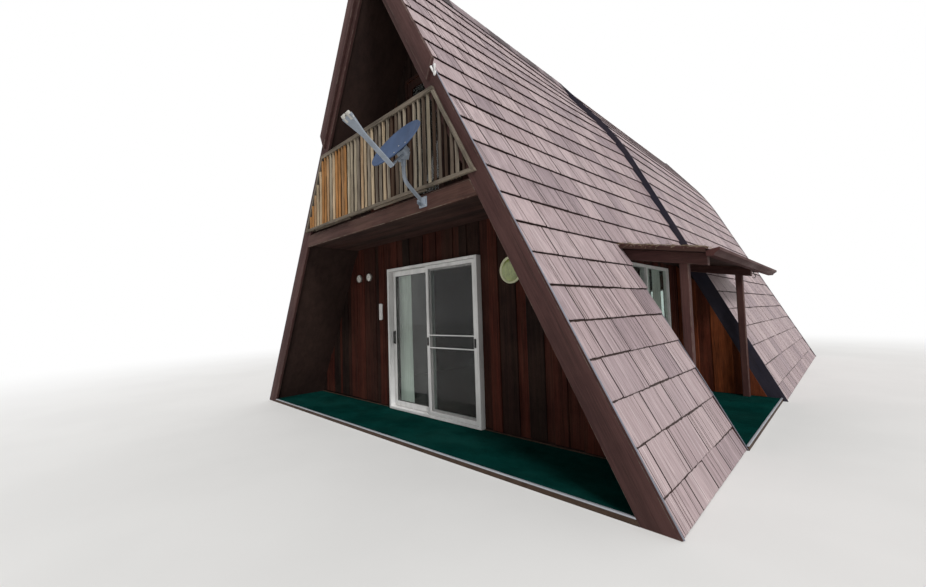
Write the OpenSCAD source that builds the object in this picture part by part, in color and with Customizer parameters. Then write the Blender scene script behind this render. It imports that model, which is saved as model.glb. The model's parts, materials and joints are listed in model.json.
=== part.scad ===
// A-frame cabin with an under-roof porch, a balcony and a side porch. Millimetres, +Z up.
// Shapes are written with y = 0 at the front of the bargeboards and y growing to the rear;
// place() then moves the origin to the middle of the length, under the ridge, on the ground.

/* [Front roof section] */
// Half width of the front section at the ground
half_base = 3340; // [2800:10:4100]
// Height of the ridge
ridge_h = 6210; // [5100:10:7500]
// Length of the front section
front_len = 4750; // [4200:10:5700]
// Thickness of the metal shake layer
cover_t = 25; // [15:1:40]
// Thickness of rafters, boarding and lining together
roof_t = 150; // [100:5:240]
// Half width of the ridge cap
cap_half_w = 110; // [80:5:160]
// Thickness of the ridge cap
cap_t = 10; // [4:1:16]

/* [Rear roof section] */
// Length of the whole building
total_len = 11350; // [9500:10:13600]
// How far the rear section stands out at the ground
back_out = 60; // [40:5:150]
// Height of the knee in the rear slopes
knee_h = 4700; // [4300:10:5000]
// How far the knee stands out from the front slope
knee_out = 335; // [260:5:420]
// Radius of the knee
knee_r = 6000; // [4000:100:8000]
// Thickness of the board that closes the step between the sections
step_t = 25; // [15:1:40]
// Distance of the rear wall from the rear end
rear_inset = 300; // [150:10:500]

/* [Bargeboards] */
// Thickness of a bargeboard
board_t = 40; // [25:1:50]
// Width of a bargeboard at the ridge
board_top_w = 165; // [120:5:220]
// Width of a bargeboard at the ground
board_foot_w = 215; // [170:5:280]
// Width of an upper bargeboard
upper_w = 180; // [120:5:240]
// How far an upper bargeboard stands out over the slope
upper_out = 50; // [20:5:80]
// Height of the lower end of the upper bargeboards
upper_end_h = 3830; // [3800:10:4300]

/* [Floors and walls] */
// Thickness of the ground floor under the porches
floor_t = 40; // [30:1:60]
// Thickness of the turf
turf_t = 10; // [6:1:20]
// Width of the metal edge trims
trim_w = 20; // [10:1:40]
// Depth of the front porch
recess = 880; // [700:10:1200]
// Thickness of the gable walls
wall_t = 120; // [90:5:180]
// Height of the loft floor
storey_h = 2700; // [2600:10:3000]
// Thickness of the loft floor
loft_t = 140; // [100:5:200]
// Height of the underside of the balcony
soffit_h = 2530; // [2450:10:2600]
// Gap between pieces whose slanted faces lie on each other
seat = 0.3; // [0.2:0.1:1]

/* [Balcony] */
// Height of the underside of the fascia beam
beam_z = 2500; // [2400:10:2550]
// Height of the fascia beam
beam_h = 170; // [120:5:190]
// Height of the railing's top
rail_top = 3750; // [3650:10:3800]
// Height of the top rail
rail_h = 52; // [40:1:90]
// Thickness of the railing
rail_t = 38; // [30:1:45]
// Height of the railing's bottom plate over the loft floor
plate_gap = 20; // [10:1:60]
// Height of the bottom plate
plate_h = 40; // [30:1:60]
// Distance of the sloped end rails from the roof surface
end_rail_d = 110; // [100:5:130]
// Spacing of the pickets
picket_step = 80; // [60:1:110]
// Width of a picket
picket_w = 38; // [30:1:55]
// Width of the balcony door
loft_door_w = 780; // [600:10:900]
// Height of the balcony door
loft_door_h = 2160; // [1900:10:2300]

/* [Patio door] */
// Left edge of the door
door_x = -870; // [-1000:10:-700]
// Width of the door
door_w = 1830; // [1500:10:2200]
// Height of the door's top over the ground
door_top = 2120; // [1950:10:2300]
// Width of the frame
frame_w = 35; // [25:1:50]
// How far the frame stands out from the wall
frame_out = 55; // [50:1:80]
// Depth of the frame
frame_d = 130; // [125:1:180]
// Width of a sash stile
stile_w = 65; // [50:1:80]
// Height of a sash rail
sash_rail = 75; // [60:1:100]
// Thickness of a sash
sash_t = 30; // [24:1:32]
// Thickness of the panes
pane_t = 8; // [4:1:12]
// Width of the screen's frame
screen_w = 45; // [30:1:55]
// Thickness of the screen's frame
screen_t = 20; // [14:1:22]
// Clearance of the moving parts
slack = 5; // [5:0.5:8]
// Height of the middle of the handle
handle_z = 1095; // [950:5:1200]
// Length of the handle
handle_len = 200; // [140:5:260]
// Width of the handle
handle_w = 28; // [20:1:36]
// Height of the middle of the screen's lower push bar
push_bar_z = 980; // [800:10:1050]
// Distance between the two push bars
push_bar_gap = 165; // [100:5:250]
// Height of a push bar
push_bar_h = 14; // [8:1:24]
// Width of the bunched door curtain
curtain_w = 320; // [200:10:450]
// Thickness of a bunched curtain
curtain_t = 40; // [30:1:45]
// Height of the curtain rails
curtain_rail_h = 20; // [12:1:30]

/* [Side porch] */
// Start of the porch cut
porch_start = 2070; // [1800:10:2300]
// Distance of the recessed side wall from the middle
side_x = 2000; // [1800:10:2100]
// Thickness of the side porch walls
side_t = 100; // [80:5:140]
// Start of the side window
side_win_y = 2460; // [2300:10:2600]
// Length of the side window
side_win_w = 1940; // [1500:10:2100]
// Height of the side window's sill
side_sill = 900; // [700:10:1200]
// Height of the side window
side_win_h = 1160; // [800:10:1200]
// Width of a bunched side curtain
side_curtain_w = 400; // [250:10:450]

/* [Lean-to roof] */
// Fall of the lean-to roof per unit of width
shed_slope = 0.18; // [0.1:0.01:0.25]
// Height of its top edge over the end of the main roof
shed_lift = 72; // [70:1:100]
// Thickness of its deck
deck_t = 30; // [20:1:40]
// Start of the lean-to roof
shed_start = 2000; // [1750:10:2060]
// How far the lean-to roof runs on past the step
shed_past = 1600; // [600:10:1900]
// Outer edge of the lean-to roof
shed_edge = 3085; // [2900:5:3300]
// Height of its beams
beam_d = 130; // [100:5:180]
// Width of beams and posts
post_w = 90; // [70:5:120]
// Outer end of the near beam
near_end = 3080; // [2950:5:3085]
// Outer end of the far beam
far_end = 3080; // [2950:5:3085]
// Inner face of the near post
near_post_x = 2805; // [2600:5:2900]
// Inner face of the far post
far_post_x = 2880; // [2600:5:2950]
// Distance of the far beam from the step
far_beam_gap = 60; // [30:5:200]
// Width of the gutter
gutter_w = 125; // [100:5:160]
// Height of the gutter
gutter_h = 80; // [70:5:120]
// Wall of the gutter
gutter_t = 4; // [3:0.5:6]

/* [Windows] */
// Width of a window frame
win_frame = 40; // [30:5:60]
// Width of the lower rear window
rear_win_w = 1200; // [800:10:1800]
// Sill of the lower rear window
rear_sill = 900; // [700:10:1200]
// Height of the lower rear window
rear_win_h = 1100; // [800:10:1400]
// Width of the upper rear window
loft_win_w = 900; // [600:10:1100]
// Height of the upper rear window's sill over the loft floor
loft_sill = 600; // [400:10:800]
// Height of the upper rear window
loft_win_h = 900; // [600:10:1100]

/* [Dish] */
// Place of the dish mast across the building
mast_x = 1100; // [800:10:1300]
// Distance of the mast from the fascia beam
mast_out = 330; // [200:10:500]
// Height of the elbow of the mast
elbow_z = 2730; // [2600:10:2900]
// Height of the top of the mast
mast_top = 2990; // [2900:10:3200]
// Radius of the mast tube
mast_r = 20; // [15:1:30]
// Radius of the reflector
dish_r = 300; // [200:5:400]
// Focal length of the reflector
dish_f = 340; // [250:10:500]
// Thickness of the reflector
dish_t = 4; // [3:0.5:8]
// Elevation of the reflector
dish_el = 35; // [20:1:50]
// Angle of the boom round the reflector's rim, below the horizontal
dish_skew = 70; // [55:1:90]
// Length of the boom, from the reflector's rim
boom_len = 520; // [400:10:650]

/* [Wall fittings] */
// Radius of a dial
dial_r = 66; // [40:1:90]
// Distance of the near dial's middle from the door
dial_gap = 557; // [300:1:700]
// Distance between the dials' middles
dial_step = 295; // [200:1:400]
// Thickness of a dial
dial_t = 24; // [15:1:40]
// Height of the dials
dial_z = 2050; // [1800:10:2200]
// Radius of the round plate
plate_r = 155; // [100:5:200]
// Thickness of the round plate
round_t = 22; // [10:1:40]
// Distance of the plate's middle from the door
plate_x = 478; // [300:1:600]
// Height of the plate's middle
plate_z = 1892; // [1600:1:2100]

/* [Hidden] */
$fn = 48;

floor_top = floor_t + turf_t;
lining_d = cover_t + roof_t;
step_y = front_len + step_t;
rear_y = total_len - rear_inset;
strip_d = lining_d + 25;
wide = 20000;

slope_a = atan(ridge_h / half_base);
function front_x(z, d) = half_base - d / sin(slope_a) - z * half_base / ridge_h;
function front_z(x, d) = (half_base - d / sin(slope_a) - x) * ridge_h / half_base;

// The rear slopes: a lower and an upper straight part, joined by an arc at the knee.
back_base = half_base + back_out;
knee_x = half_base * (1 - knee_h / ridge_h) + knee_out;
low_a = atan(knee_h / (back_base - knee_x));
top_a = atan((ridge_h - knee_h) / knee_x);
mid_a = (low_a + top_a) / 2;
arc_c = [knee_x, knee_h] - knee_r / cos((low_a - top_a) / 2) * [sin(mid_a), cos(mid_a)];
arc_n = 6;
function back_x(z, d) = back_base - d / sin(low_a) - z * (back_base - knee_x) / knee_h;
function arc_point(i, d) =
    let (t = low_a + (top_a - low_a) * i / arc_n)
    arc_c + (knee_r - d) * [sin(t), cos(t)];
function back_line(d) = concat(
    [[back_base - d / sin(low_a), 0]],
    [for (i = [0:arc_n]) arc_point(i, d)],
    [[0, ridge_h - d / cos(top_a)]]);
function turned(line) = [for (i = [len(line) - 1:-1:0]) line[i]];
function mirrored(line) = [for (p = line) [-p[0], p[1]]];

// Underside of the main roof at the recessed side wall: the porch is open below it.
cut_z = front_z(side_x, lining_d);
shed_x = front_x(cut_z, 0);
shed_end = front_len + shed_past;
far_beam_y = front_len - far_beam_gap - post_w;
near_beam_y = porch_start + 20;
function shed_z(x) = cut_z + shed_lift - shed_slope * (x - shed_x);

in_x0 = door_x + frame_w;
in_x1 = door_x + door_w - frame_w;
in_z0 = floor_top + frame_w;
in_z1 = door_top - frame_w;
door_mid = (in_x0 + in_x1) / 2;
lap = 30;
fixed_y = recess - sash_t / 2;
slide_y = fixed_y + sash_t + 10;
screen_y = fixed_y - 10 - screen_t;
slide_x0 = in_x0 + slack;
slide_x1 = door_mid + lap;
screen_x0 = door_mid - lap;
screen_x1 = in_x1 - slack;
move_z0 = in_z0 + slack;
move_z1 = in_z1 - slack;
handle_x = slide_x0 + stile_w / 2;
door_curtain_top = door_top + 40;
side_curtain_top = side_sill + side_win_h + 20;

dish_c = [mast_x + 66, -mast_out - 90, mast_top + 10];

module place() {
    translate([0, -total_len / 2, 0]) children();
}

module along(y0, y1) {
    translate([0, y1, 0]) rotate([90, 0, 0]) linear_extrude(y1 - y0) children();
}

module left_side() {
    mirror([1, 0, 0]) children();
}

module box(x0, x1, y0, y1, z0, z1) {
    translate([x0, y0, z0]) cube([x1 - x0, y1 - y0, z1 - z0]);
}

module rod(a, b, r) {
    v = b - a;
    turn = atan2(v[1], v[0]);
    translate(a) rotate([0, acos(v[2] / norm(v)), turn]) cylinder(h = norm(v), r = r);
}

// A bar from a to b. Each end is w wide along side and t thick along up.
module bar(a, b, side, up, w0, t0, w1, t1) {
    corners = [[-1, -1], [1, -1], [1, 1], [-1, 1]];
    polyhedron(
        concat(
            [for (c = corners) a + side * c[0] * w0 / 2 + up * c[1] * t0 / 2],
            [for (c = corners) b + side * c[0] * w1 / 2 + up * c[1] * t1 / 2]),
        [[0, 1, 2, 3], [7, 6, 5, 4], [0, 4, 5, 1], [1, 5, 6, 2], [2, 6, 7, 3], [3, 7, 4, 0]]);
}

module level(z0, z1) {
    translate([-wide / 2, z0]) square([wide, z1 - z0]);
}

module front_band(d0, d1) {
    polygon([[front_x(0, d0), 0], [0, front_z(0, d0)], [0, front_z(0, d1)], [front_x(0, d1), 0]]);
}

module front_room(d) {
    polygon([[-front_x(0, d), 0], [0, front_z(0, d)], [front_x(0, d), 0]]);
}

module back_band(d0, d1) {
    polygon(concat(back_line(d0), turned(back_line(d1))));
}

module back_room(d) {
    half = back_line(d);
    polygon(concat(half, turned(mirrored([for (i = [0:len(half) - 2]) half[i]]))));
}

// The space between the tapered front bargeboards.
module board_room() {
    foot = cover_t + board_foot_w;
    top = cover_t + board_top_w;
    polygon([[-front_x(0, foot), 0], [0, front_z(0, top)], [front_x(0, foot), 0]]);
}

module ring(x0, x1, z0, z1, w, h) {
    difference() {
        translate([x0, z0]) square([x1 - x0, z1 - z0]);
        translate([x0 + w, z0 + h]) square([x1 - x0 - 2 * w, z1 - z0 - 2 * h]);
    }
}

module ground_floor() color("tan") place() {
    along(0, board_t) intersection() {
        board_room();
        level(0, floor_t);
    }
    along(board_t, step_y) intersection() {
        front_room(lining_d);
        level(0, floor_t);
    }
    difference() {
        along(recess, step_y) intersection() {
            front_room(lining_d);
            level(0, floor_top);
        }
        box(side_x, half_base, porch_start, front_len, floor_t, floor_top + 1);
    }
    along(step_y, rear_y) intersection() {
        back_room(lining_d);
        level(0, floor_top);
    }
    box(side_x, half_base, porch_start, front_len, 0, floor_t);
}

module loft_floor() color("tan") place() difference() {
    union() {
        along(recess + wall_t, step_y) intersection() {
            front_room(lining_d);
            level(storey_h - loft_t, storey_h);
        }
        along(step_y, rear_y - wall_t) intersection() {
            back_room(lining_d);
            level(storey_h - loft_t, storey_h);
        }
    }
    box(side_x - side_t - seat, wide, porch_start - side_t - seat, front_len + side_t + seat, 0, cut_z);
}

module porch_turf() color("green") place() {
    along(trim_w, recess) intersection() {
        board_room();
        level(floor_t, floor_top);
    }
    box(side_x, half_base - trim_w, porch_start, front_len, floor_t, floor_top);
}

module porch_edge_trims() color("white") place() {
    along(0, trim_w) intersection() {
        board_room();
        level(floor_t, floor_top + 2);
    }
    box(half_base - trim_w, half_base, porch_start, front_len, floor_t, floor_top + 2);
}

module left_roof_front() color("burlywood") place()
    left_side() along(board_t, front_len) front_band(cover_t, lining_d);

module porch_cut() {
    box(0, wide, porch_start, front_len + 1, -1, cut_z);
}

module right_roof_front() color("burlywood") place() {
    difference() {
        along(board_t, front_len) front_band(cover_t, lining_d);
        porch_cut();
    }
}

module left_roof_back() color("burlywood") place()
    left_side() along(step_y, total_len - board_t) back_band(cover_t, lining_d);

module right_roof_back() color("burlywood") place()
    along(step_y, total_len - board_t) back_band(cover_t, lining_d);

module left_cover_front() color("saddlebrown") place()
    left_side() along(0, front_len) front_band(0, cover_t);

module right_cover_front() color("saddlebrown") place() {
    difference() {
        along(0, front_len) front_band(0, cover_t);
        porch_cut();
    }
}

module left_cover_back() color("saddlebrown") place()
    left_side() along(step_y, total_len) back_band(0, cover_t);

module right_cover_back() color("saddlebrown") place()
    along(step_y, total_len) back_band(0, cover_t);

module ridge_cap() color("dimgray") place() {
    along(0, front_len) intersection() {
        difference() {
            front_room(-cap_t);
            front_room(0);
        }
        translate([-cap_half_w, 0]) square([2 * cap_half_w, wide]);
    }
}

module step_board() color("slategray") place() {
    along(front_len, step_y) {
        difference() {
            back_room(0);
            front_room(lining_d);
            square([wide, cut_z]);
        }
        intersection() {
            back_band(0, strip_d);
            level(0, cut_z);
        }
    }
}

module front_bargeboards() color("saddlebrown") place() {
    along(0, board_t) difference() {
        front_room(cover_t);
        board_room();
    }
}

module upper_bargeboards() color("saddlebrown") place() {
    tip = front_x(upper_end_h, upper_w - upper_out);
    top_z = upper_end_h + 210;
    top_x = front_x(top_z, -upper_out);
    along(-board_t, 0) difference() {
        polygon([
            [-tip, upper_end_h], [-top_x, top_z], [0, front_z(0, -upper_out)],
            [top_x, top_z], [tip, upper_end_h]]);
        front_room(upper_w - upper_out);
    }
}

module rear_bargeboards() color("saddlebrown") place() {
    along(total_len - board_t, total_len) difference() {
        back_room(cover_t);
        back_room(cover_t + board_top_w);
    }
}

module front_wall_left() color("sienna") place() {
    along(recess, recess + wall_t) intersection() {
        front_room(lining_d);
        translate([-wide, floor_top]) square([wide + door_x, storey_h - floor_top]);
    }
}

module front_wall_right() color("sienna") place() {
    along(recess, recess + wall_t) intersection() {
        front_room(lining_d);
        translate([door_x + door_w, floor_top]) square([wide, storey_h - floor_top]);
    }
}

module front_wall_over_door() color("sienna") place()
    box(door_x, door_x + door_w, recess, recess + wall_t, door_top, storey_h);

module front_wall_upper() color("sienna") place() {
    along(recess, recess + wall_t) difference() {
        intersection() {
            front_room(lining_d);
            level(storey_h, wide);
        }
        translate([-loft_door_w / 2, storey_h]) square([loft_door_w, loft_door_h]);
    }
}

module rear_wall() color("sienna") place() {
    along(rear_y - wall_t, rear_y) difference() {
        intersection() {
            back_room(lining_d);
            level(floor_top, wide);
        }
        translate([-rear_win_w / 2, rear_sill]) square([rear_win_w, rear_win_h]);
        translate([-loft_win_w / 2, storey_h + loft_sill]) square([loft_win_w, loft_win_h]);
    }
}

module window_frames() color("white") place() {
    along(rear_y - 80, rear_y)
        ring(-rear_win_w / 2, rear_win_w / 2, rear_sill, rear_sill + rear_win_h, win_frame, win_frame);
    along(rear_y - 80, rear_y)
        ring(-loft_win_w / 2, loft_win_w / 2, storey_h + loft_sill, storey_h + loft_sill + loft_win_h,
            win_frame, win_frame);
    difference() {
        box(side_x - 80, side_x, side_win_y, side_win_y + side_win_w, side_sill, side_sill + side_win_h);
        side_panes(side_x - 81, side_x + 1);
    }
}

// The two panes of the side window, one each side of the mullion.
module side_panes(x0, x1) {
    half = side_win_w / 2;
    for (y = [side_win_y, side_win_y + half])
        box(x0, x1, y + (y > side_win_y ? win_frame / 2 : win_frame),
            y + half - (y > side_win_y ? win_frame : win_frame / 2),
            side_sill + win_frame, side_sill + side_win_h - win_frame);
}

module window_glass() color("lightblue") place() {
    pane_y = rear_y - 44;
    box(-rear_win_w / 2 + win_frame, rear_win_w / 2 - win_frame, pane_y, pane_y + pane_t,
        rear_sill + win_frame, rear_sill + rear_win_h - win_frame);
    box(-loft_win_w / 2 + win_frame, loft_win_w / 2 - win_frame, pane_y, pane_y + pane_t,
        storey_h + loft_sill + win_frame, storey_h + loft_sill + loft_win_h - win_frame);
    side_panes(side_x - 44, side_x - 44 + pane_t);
    box(door_mid - lap + stile_w, in_x1 - stile_w, recess - pane_t / 2, recess + pane_t / 2,
        in_z0 + sash_rail, in_z1 - sash_rail);
    box(130 - loft_door_w / 2, loft_door_w / 2 - 130, recess + 36, recess + 36 + pane_t,
        storey_h + 155, storey_h + loft_door_h - 155);
}

module balcony_door() color("saddlebrown") place() {
    along(recess, recess + wall_t)
        ring(-loft_door_w / 2, loft_door_w / 2, storey_h, storey_h + loft_door_h, 45, 45);
    along(recess + 20, recess + 60)
        ring(-loft_door_w / 2 + 45, loft_door_w / 2 - 45, storey_h + 45, storey_h + loft_door_h - 45, 85, 110);
}

module balcony_beam() color("saddlebrown") place() {
    along(0, board_t) intersection() {
        board_room();
        level(beam_z, beam_z + beam_h);
    }
}

module balcony_floor() color("tan") place() {
    along(board_t, recess) intersection() {
        front_room(lining_d);
        level(soffit_h, storey_h);
    }
}

module balcony_railing() color("gray") place() {
    plate_z = storey_h + plate_gap;
    along(-rail_t, 0) difference() {
        intersection() {
            front_room(end_rail_d);
            level(plate_z, rail_top);
        }
        intersection() {
            front_room(end_rail_d + 40);
            level(plate_z + plate_h, rail_top - rail_h);
        }
    }
    count = floor(front_x(plate_z, end_rail_d + 40) / picket_step);
    along(-rail_t + 8, -8) intersection() {
        front_room(end_rail_d + 20);
        level(plate_z + 10, rail_top - 10);
        for (i = [-count:count])
            translate([i * picket_step - picket_w / 2, plate_z]) square([picket_w, rail_top - plate_z]);
    }
}

module side_porch_walls() color("sienna") place() {
    inner_x = side_x - side_t;
    difference() {
        union() {
            along(porch_start - side_t, front_len) intersection() {
                front_room(lining_d + seat);
                translate([inner_x, floor_top]) square([side_t, ridge_h]);
            }
            along(porch_start - side_t, porch_start) intersection() {
                front_room(lining_d + seat);
                translate([inner_x, floor_top]) square([wide, cut_z - floor_top]);
            }
            along(front_len, front_len + side_t) intersection() {
                back_room(strip_d + seat);
                translate([inner_x, floor_top]) square([wide, cut_z - floor_top - seat]);
            }
        }
        box(inner_x - 1, side_x + 1, side_win_y, side_win_y + side_win_w,
            side_sill, side_sill + side_win_h);
    }
}

module curtain_rails() color("white") place() {
    back = recess + wall_t;
    box(door_x - 30, door_x + door_w + 30, back, back + curtain_t + 20,
        door_curtain_top, door_curtain_top + curtain_rail_h);
    box(side_x - side_t - curtain_t - 20, side_x - side_t, side_win_y, side_win_y + side_win_w,
        side_curtain_top, side_curtain_top + curtain_rail_h);
}

module door_curtain() color("ghostwhite") place()
    box(door_x + 10, door_x + 10 + curtain_w, recess + wall_t + 10, recess + wall_t + 10 + curtain_t,
        floor_top + 20, door_curtain_top);

module side_curtains() color("ghostwhite") place() {
    near = side_win_y + 40;
    mid = side_win_y + side_win_w / 2 + win_frame;
    far = side_win_y + side_win_w - 20 - side_curtain_w;
    for (y = [near, mid, far])
        box(side_x - side_t - 10 - curtain_t, side_x - side_t - 10, y, y + side_curtain_w,
            side_sill - 40, side_curtain_top);
}

// A sloping sheet of the lean-to roof, cut where it meets the two main roof sections.
module shed_sheet(x1, top, thick) {
    x0 = shed_x - 200;
    difference() {
        along(shed_start, shed_end) polygon([
            [x0, shed_z(x0) - top], [x1, shed_z(x1) - top],
            [x1, shed_z(x1) - top - thick], [x0, shed_z(x0) - top - thick]]);
        along(0, front_len) front_room(0);
        along(front_len, total_len) back_room(0);
    }
}

module shed_roof() color("burlywood") place() shed_sheet(shed_edge, cover_t, deck_t);

module shed_cover() color("saddlebrown") place() shed_sheet(shed_edge + 25, 0, cover_t);

module shed_frame() color("maroon") place() {
    under = cover_t + deck_t + seat;
    for (f = [[near_beam_y, near_end, near_post_x], [far_beam_y, far_end, far_post_x]])
        along(f[0], f[0] + post_w) {
            polygon([
                [shed_x, shed_z(shed_x) - under], [f[1], shed_z(f[1]) - under],
                [f[1], shed_z(f[1]) - under - beam_d], [shed_x, shed_z(shed_x) - under - beam_d]]);
            translate([f[2], floor_top])
                square([post_w, shed_z(f[2]) - under - beam_d - floor_top]);
        }
}

module gutter() color("brown") place() {
    z0 = shed_z(shed_edge) - cover_t - gutter_h + 10;
    y0 = shed_start + 20;
    difference() {
        box(shed_edge, shed_edge + gutter_w, y0, shed_end - 20, z0, z0 + gutter_h);
        box(shed_edge + gutter_t, shed_edge + gutter_w - gutter_t, y0 + gutter_t, shed_end - 20 - gutter_t,
            z0 + gutter_t, z0 + gutter_h + 1);
        box(shed_edge - 1, shed_edge + 40, y0 - 1, shed_end, z0 + gutter_h - 20, z0 + gutter_h + 1);
    }
}

module door_frame() color("white") place() {
    along(recess - frame_out, recess - frame_out + frame_d)
        ring(door_x, door_x + door_w, floor_top, door_top, frame_w, frame_w);
    along(fixed_y, fixed_y + sash_t)
        ring(door_mid - lap, in_x1, in_z0, in_z1, stile_w, sash_rail);
}

module sliding_panel() color("white") place() {
    along(slide_y, slide_y + sash_t)
        ring(slide_x0, slide_x1, move_z0, move_z1, stile_w, sash_rail);
}

module sliding_glass() color("lightblue") place() {
    y = slide_y + (sash_t - pane_t) / 2;
    box(slide_x0 + stile_w, slide_x1 - stile_w, y, y + pane_t, move_z0 + sash_rail, move_z1 - sash_rail);
}

module slider_handle() color("black") place() {
    x0 = handle_x - handle_w / 2;
    z0 = handle_z - handle_len / 2;
    box(x0, x0 + handle_w, slide_y - 5, slide_y, z0, z0 + handle_len);
    box(x0 + 6, x0 + handle_w - 6, slide_y - 33, slide_y - 21, z0 + 10, z0 + handle_len - 10);
    for (z = [z0 + 10, z0 + handle_len - 26])
        box(x0 + 6, x0 + handle_w - 6, slide_y - 22, slide_y - 4, z, z + 16);
}

module screen_frame() color("white") place() {
    along(screen_y, screen_y + screen_t)
        ring(screen_x0, screen_x1, move_z0, move_z1, screen_w, screen_w);
    for (z = [push_bar_z, push_bar_z + push_bar_gap])
        box(screen_x0 + screen_w - 1, screen_x1 - screen_w + 1, screen_y + 2, screen_y + 12,
            z - push_bar_h / 2, z + push_bar_h / 2);
}

module screen_mesh() color("gray") place() {
    y = screen_y + screen_t - 6;
    box(screen_x0 + screen_w, screen_x1 - screen_w, y, y + 2, move_z0 + screen_w, move_z1 - screen_w);
}

module dish_reflector() color("steelblue") place() {
    steps = 8;
    front = [for (i = [0:steps]) let (r = dish_r * i / steps) [r, r * r / (4 * dish_f)]];
    back = [for (p = turned(front)) [p[0], p[1] - dish_t]];
    translate(dish_c) rotate([90 - dish_el, 0, 0])
        rotate_extrude() polygon(concat(front, back));
}

module dish_mount() color("lightgray") place() {
    axis = [0, -cos(dish_el), sin(dish_el)];
    edge = [cos(dish_skew), -sin(dish_skew) * sin(dish_el), -sin(dish_skew) * cos(dish_el)];
    side = cross(edge, axis);
    elbow = [mast_x, -mast_out, elbow_z];
    top = [mast_x, -mast_out, mast_top];
    hub = dish_c - (dish_t + 60) * axis;
    knuckle = hub + (dish_r + 24) * edge + 80 * axis;
    neck = knuckle + 0.6 * boom_len * axis;
    head = knuckle + boom_len * axis;
    foot = [mast_x - 110, -5, beam_z + 95];
    box(foot[0] - 60, foot[0] + 60, -10, 0, foot[2] - 55, foot[2] + 55);
    difference() {
        rod(foot, elbow, mast_r);
        box(0, 2 * mast_x, -1, 100, beam_z, storey_h);
    }
    translate(elbow) sphere(r = mast_r + 3);
    rod(elbow, top, mast_r);
    rod(top - [0, 0, 60], hub, 24);
    rod(hub, hub + 60 * axis, 45);
    rod(hub, knuckle, 13);
    bar(knuckle - 20 * axis, neck + axis, side, edge, 44, 18, 44, 18);
    bar(neck, head, side, edge, 44, 18, 100, 40);
    for (s = [-26, 26])
        rod(head + s * side - 40 * axis, head + s * side + 25 * axis, 22);
}

module wall_dials() color("white") place() {
    for (i = [0, 1])
        translate([door_x - dial_gap - i * dial_step, recess, dial_z]) rotate([90, 0, 0]) cylinder(h = dial_t, r = dial_r);
}

module round_plate() color("yellowgreen") place() {
    translate([door_x + door_w + plate_x, recess, plate_z]) rotate([90, 0, 0]) difference() {
        cylinder(h = round_t, r = plate_r);
        translate([0, 0, 6]) cylinder(h = round_t, r = plate_r - 25);
    }
}

ground_floor();
loft_floor();
porch_turf();
porch_edge_trims();
left_roof_front();
right_roof_front();
left_roof_back();
right_roof_back();
left_cover_front();
right_cover_front();
left_cover_back();
right_cover_back();
ridge_cap();
step_board();
front_bargeboards();
upper_bargeboards();
rear_bargeboards();
front_wall_left();
front_wall_right();
front_wall_over_door();
front_wall_upper();
rear_wall();
window_frames();
window_glass();
balcony_door();
balcony_beam();
balcony_floor();
balcony_railing();
side_porch_walls();
curtain_rails();
door_curtain();
side_curtains();
shed_roof();
shed_cover();
shed_frame();
gutter();
door_frame();
sliding_panel();
sliding_glass();
slider_handle();
screen_frame();
screen_mesh();
dish_reflector();
dish_mount();
wall_dials();
round_plate();
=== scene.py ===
"""Finishes and fittings of an A-frame cabin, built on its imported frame. Sizes are in metres."""

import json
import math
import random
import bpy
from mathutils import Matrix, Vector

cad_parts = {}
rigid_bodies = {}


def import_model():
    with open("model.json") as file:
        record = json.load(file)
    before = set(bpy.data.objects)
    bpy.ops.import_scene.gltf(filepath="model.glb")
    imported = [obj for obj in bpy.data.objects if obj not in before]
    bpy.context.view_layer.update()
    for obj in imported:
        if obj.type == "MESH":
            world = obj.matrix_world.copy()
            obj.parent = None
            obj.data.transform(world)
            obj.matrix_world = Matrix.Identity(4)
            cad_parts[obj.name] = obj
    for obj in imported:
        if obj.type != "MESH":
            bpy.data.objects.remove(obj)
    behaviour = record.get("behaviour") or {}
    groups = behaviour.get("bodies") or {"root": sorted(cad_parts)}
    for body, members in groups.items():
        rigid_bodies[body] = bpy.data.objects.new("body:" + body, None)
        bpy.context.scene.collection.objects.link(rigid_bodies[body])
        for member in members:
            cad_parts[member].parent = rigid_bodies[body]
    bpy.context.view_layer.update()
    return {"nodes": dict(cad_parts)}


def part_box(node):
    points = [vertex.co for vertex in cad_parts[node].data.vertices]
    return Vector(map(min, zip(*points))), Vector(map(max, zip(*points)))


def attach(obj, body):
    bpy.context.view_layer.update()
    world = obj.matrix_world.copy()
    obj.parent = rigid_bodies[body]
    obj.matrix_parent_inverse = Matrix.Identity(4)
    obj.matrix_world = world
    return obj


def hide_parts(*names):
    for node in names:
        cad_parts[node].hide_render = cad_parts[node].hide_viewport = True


bl_info = {
    "name": "A-frame cabin",
    "version": (1, 0, 0),
    "blender": (4, 5, 0),
    "location": "3D View > Sidebar > Cabin",
    "description": "Roof shakes, boards, railing, doors, curtains and fittings of an A-frame cabin",
    "category": "Object",
}

import bmesh
import bpy
from bpy.props import FloatProperty, FloatVectorProperty, IntProperty, PointerProperty
from mathutils import Matrix, Vector, noise

for left_over in list(bpy.data.objects):
    bpy.data.objects.remove(left_over)
# One fixed seed keeps the boards' roughness the same each run.
noise.seed_set(1)
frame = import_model()

# The roof as the frame has it: the front section lies between FRONT and STEP, the rear one behind it.
FRONT, STEP = (corner.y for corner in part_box("right_cover_front"))
HALF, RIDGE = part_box("right_cover_front")[1].xz
BACK_START, BACK_END = (corner.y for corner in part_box("right_cover_back"))
BACK_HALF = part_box("right_cover_back")[1].x
SLOPE = math.atan2(RIDGE, HALF)

# How deep the cover and the lining reach below the roof's surface.
COVER = 0.025
LINING = 0.175

# The rear section's knee: its height, how far it stands outside the front slope, and its bend.
KNEE_H = 4.70
KNEE_OUT = 0.335
KNEE_X = HALF * (1 - KNEE_H / RIDGE) + KNEE_OUT
KNEE_R = 6.0

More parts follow.
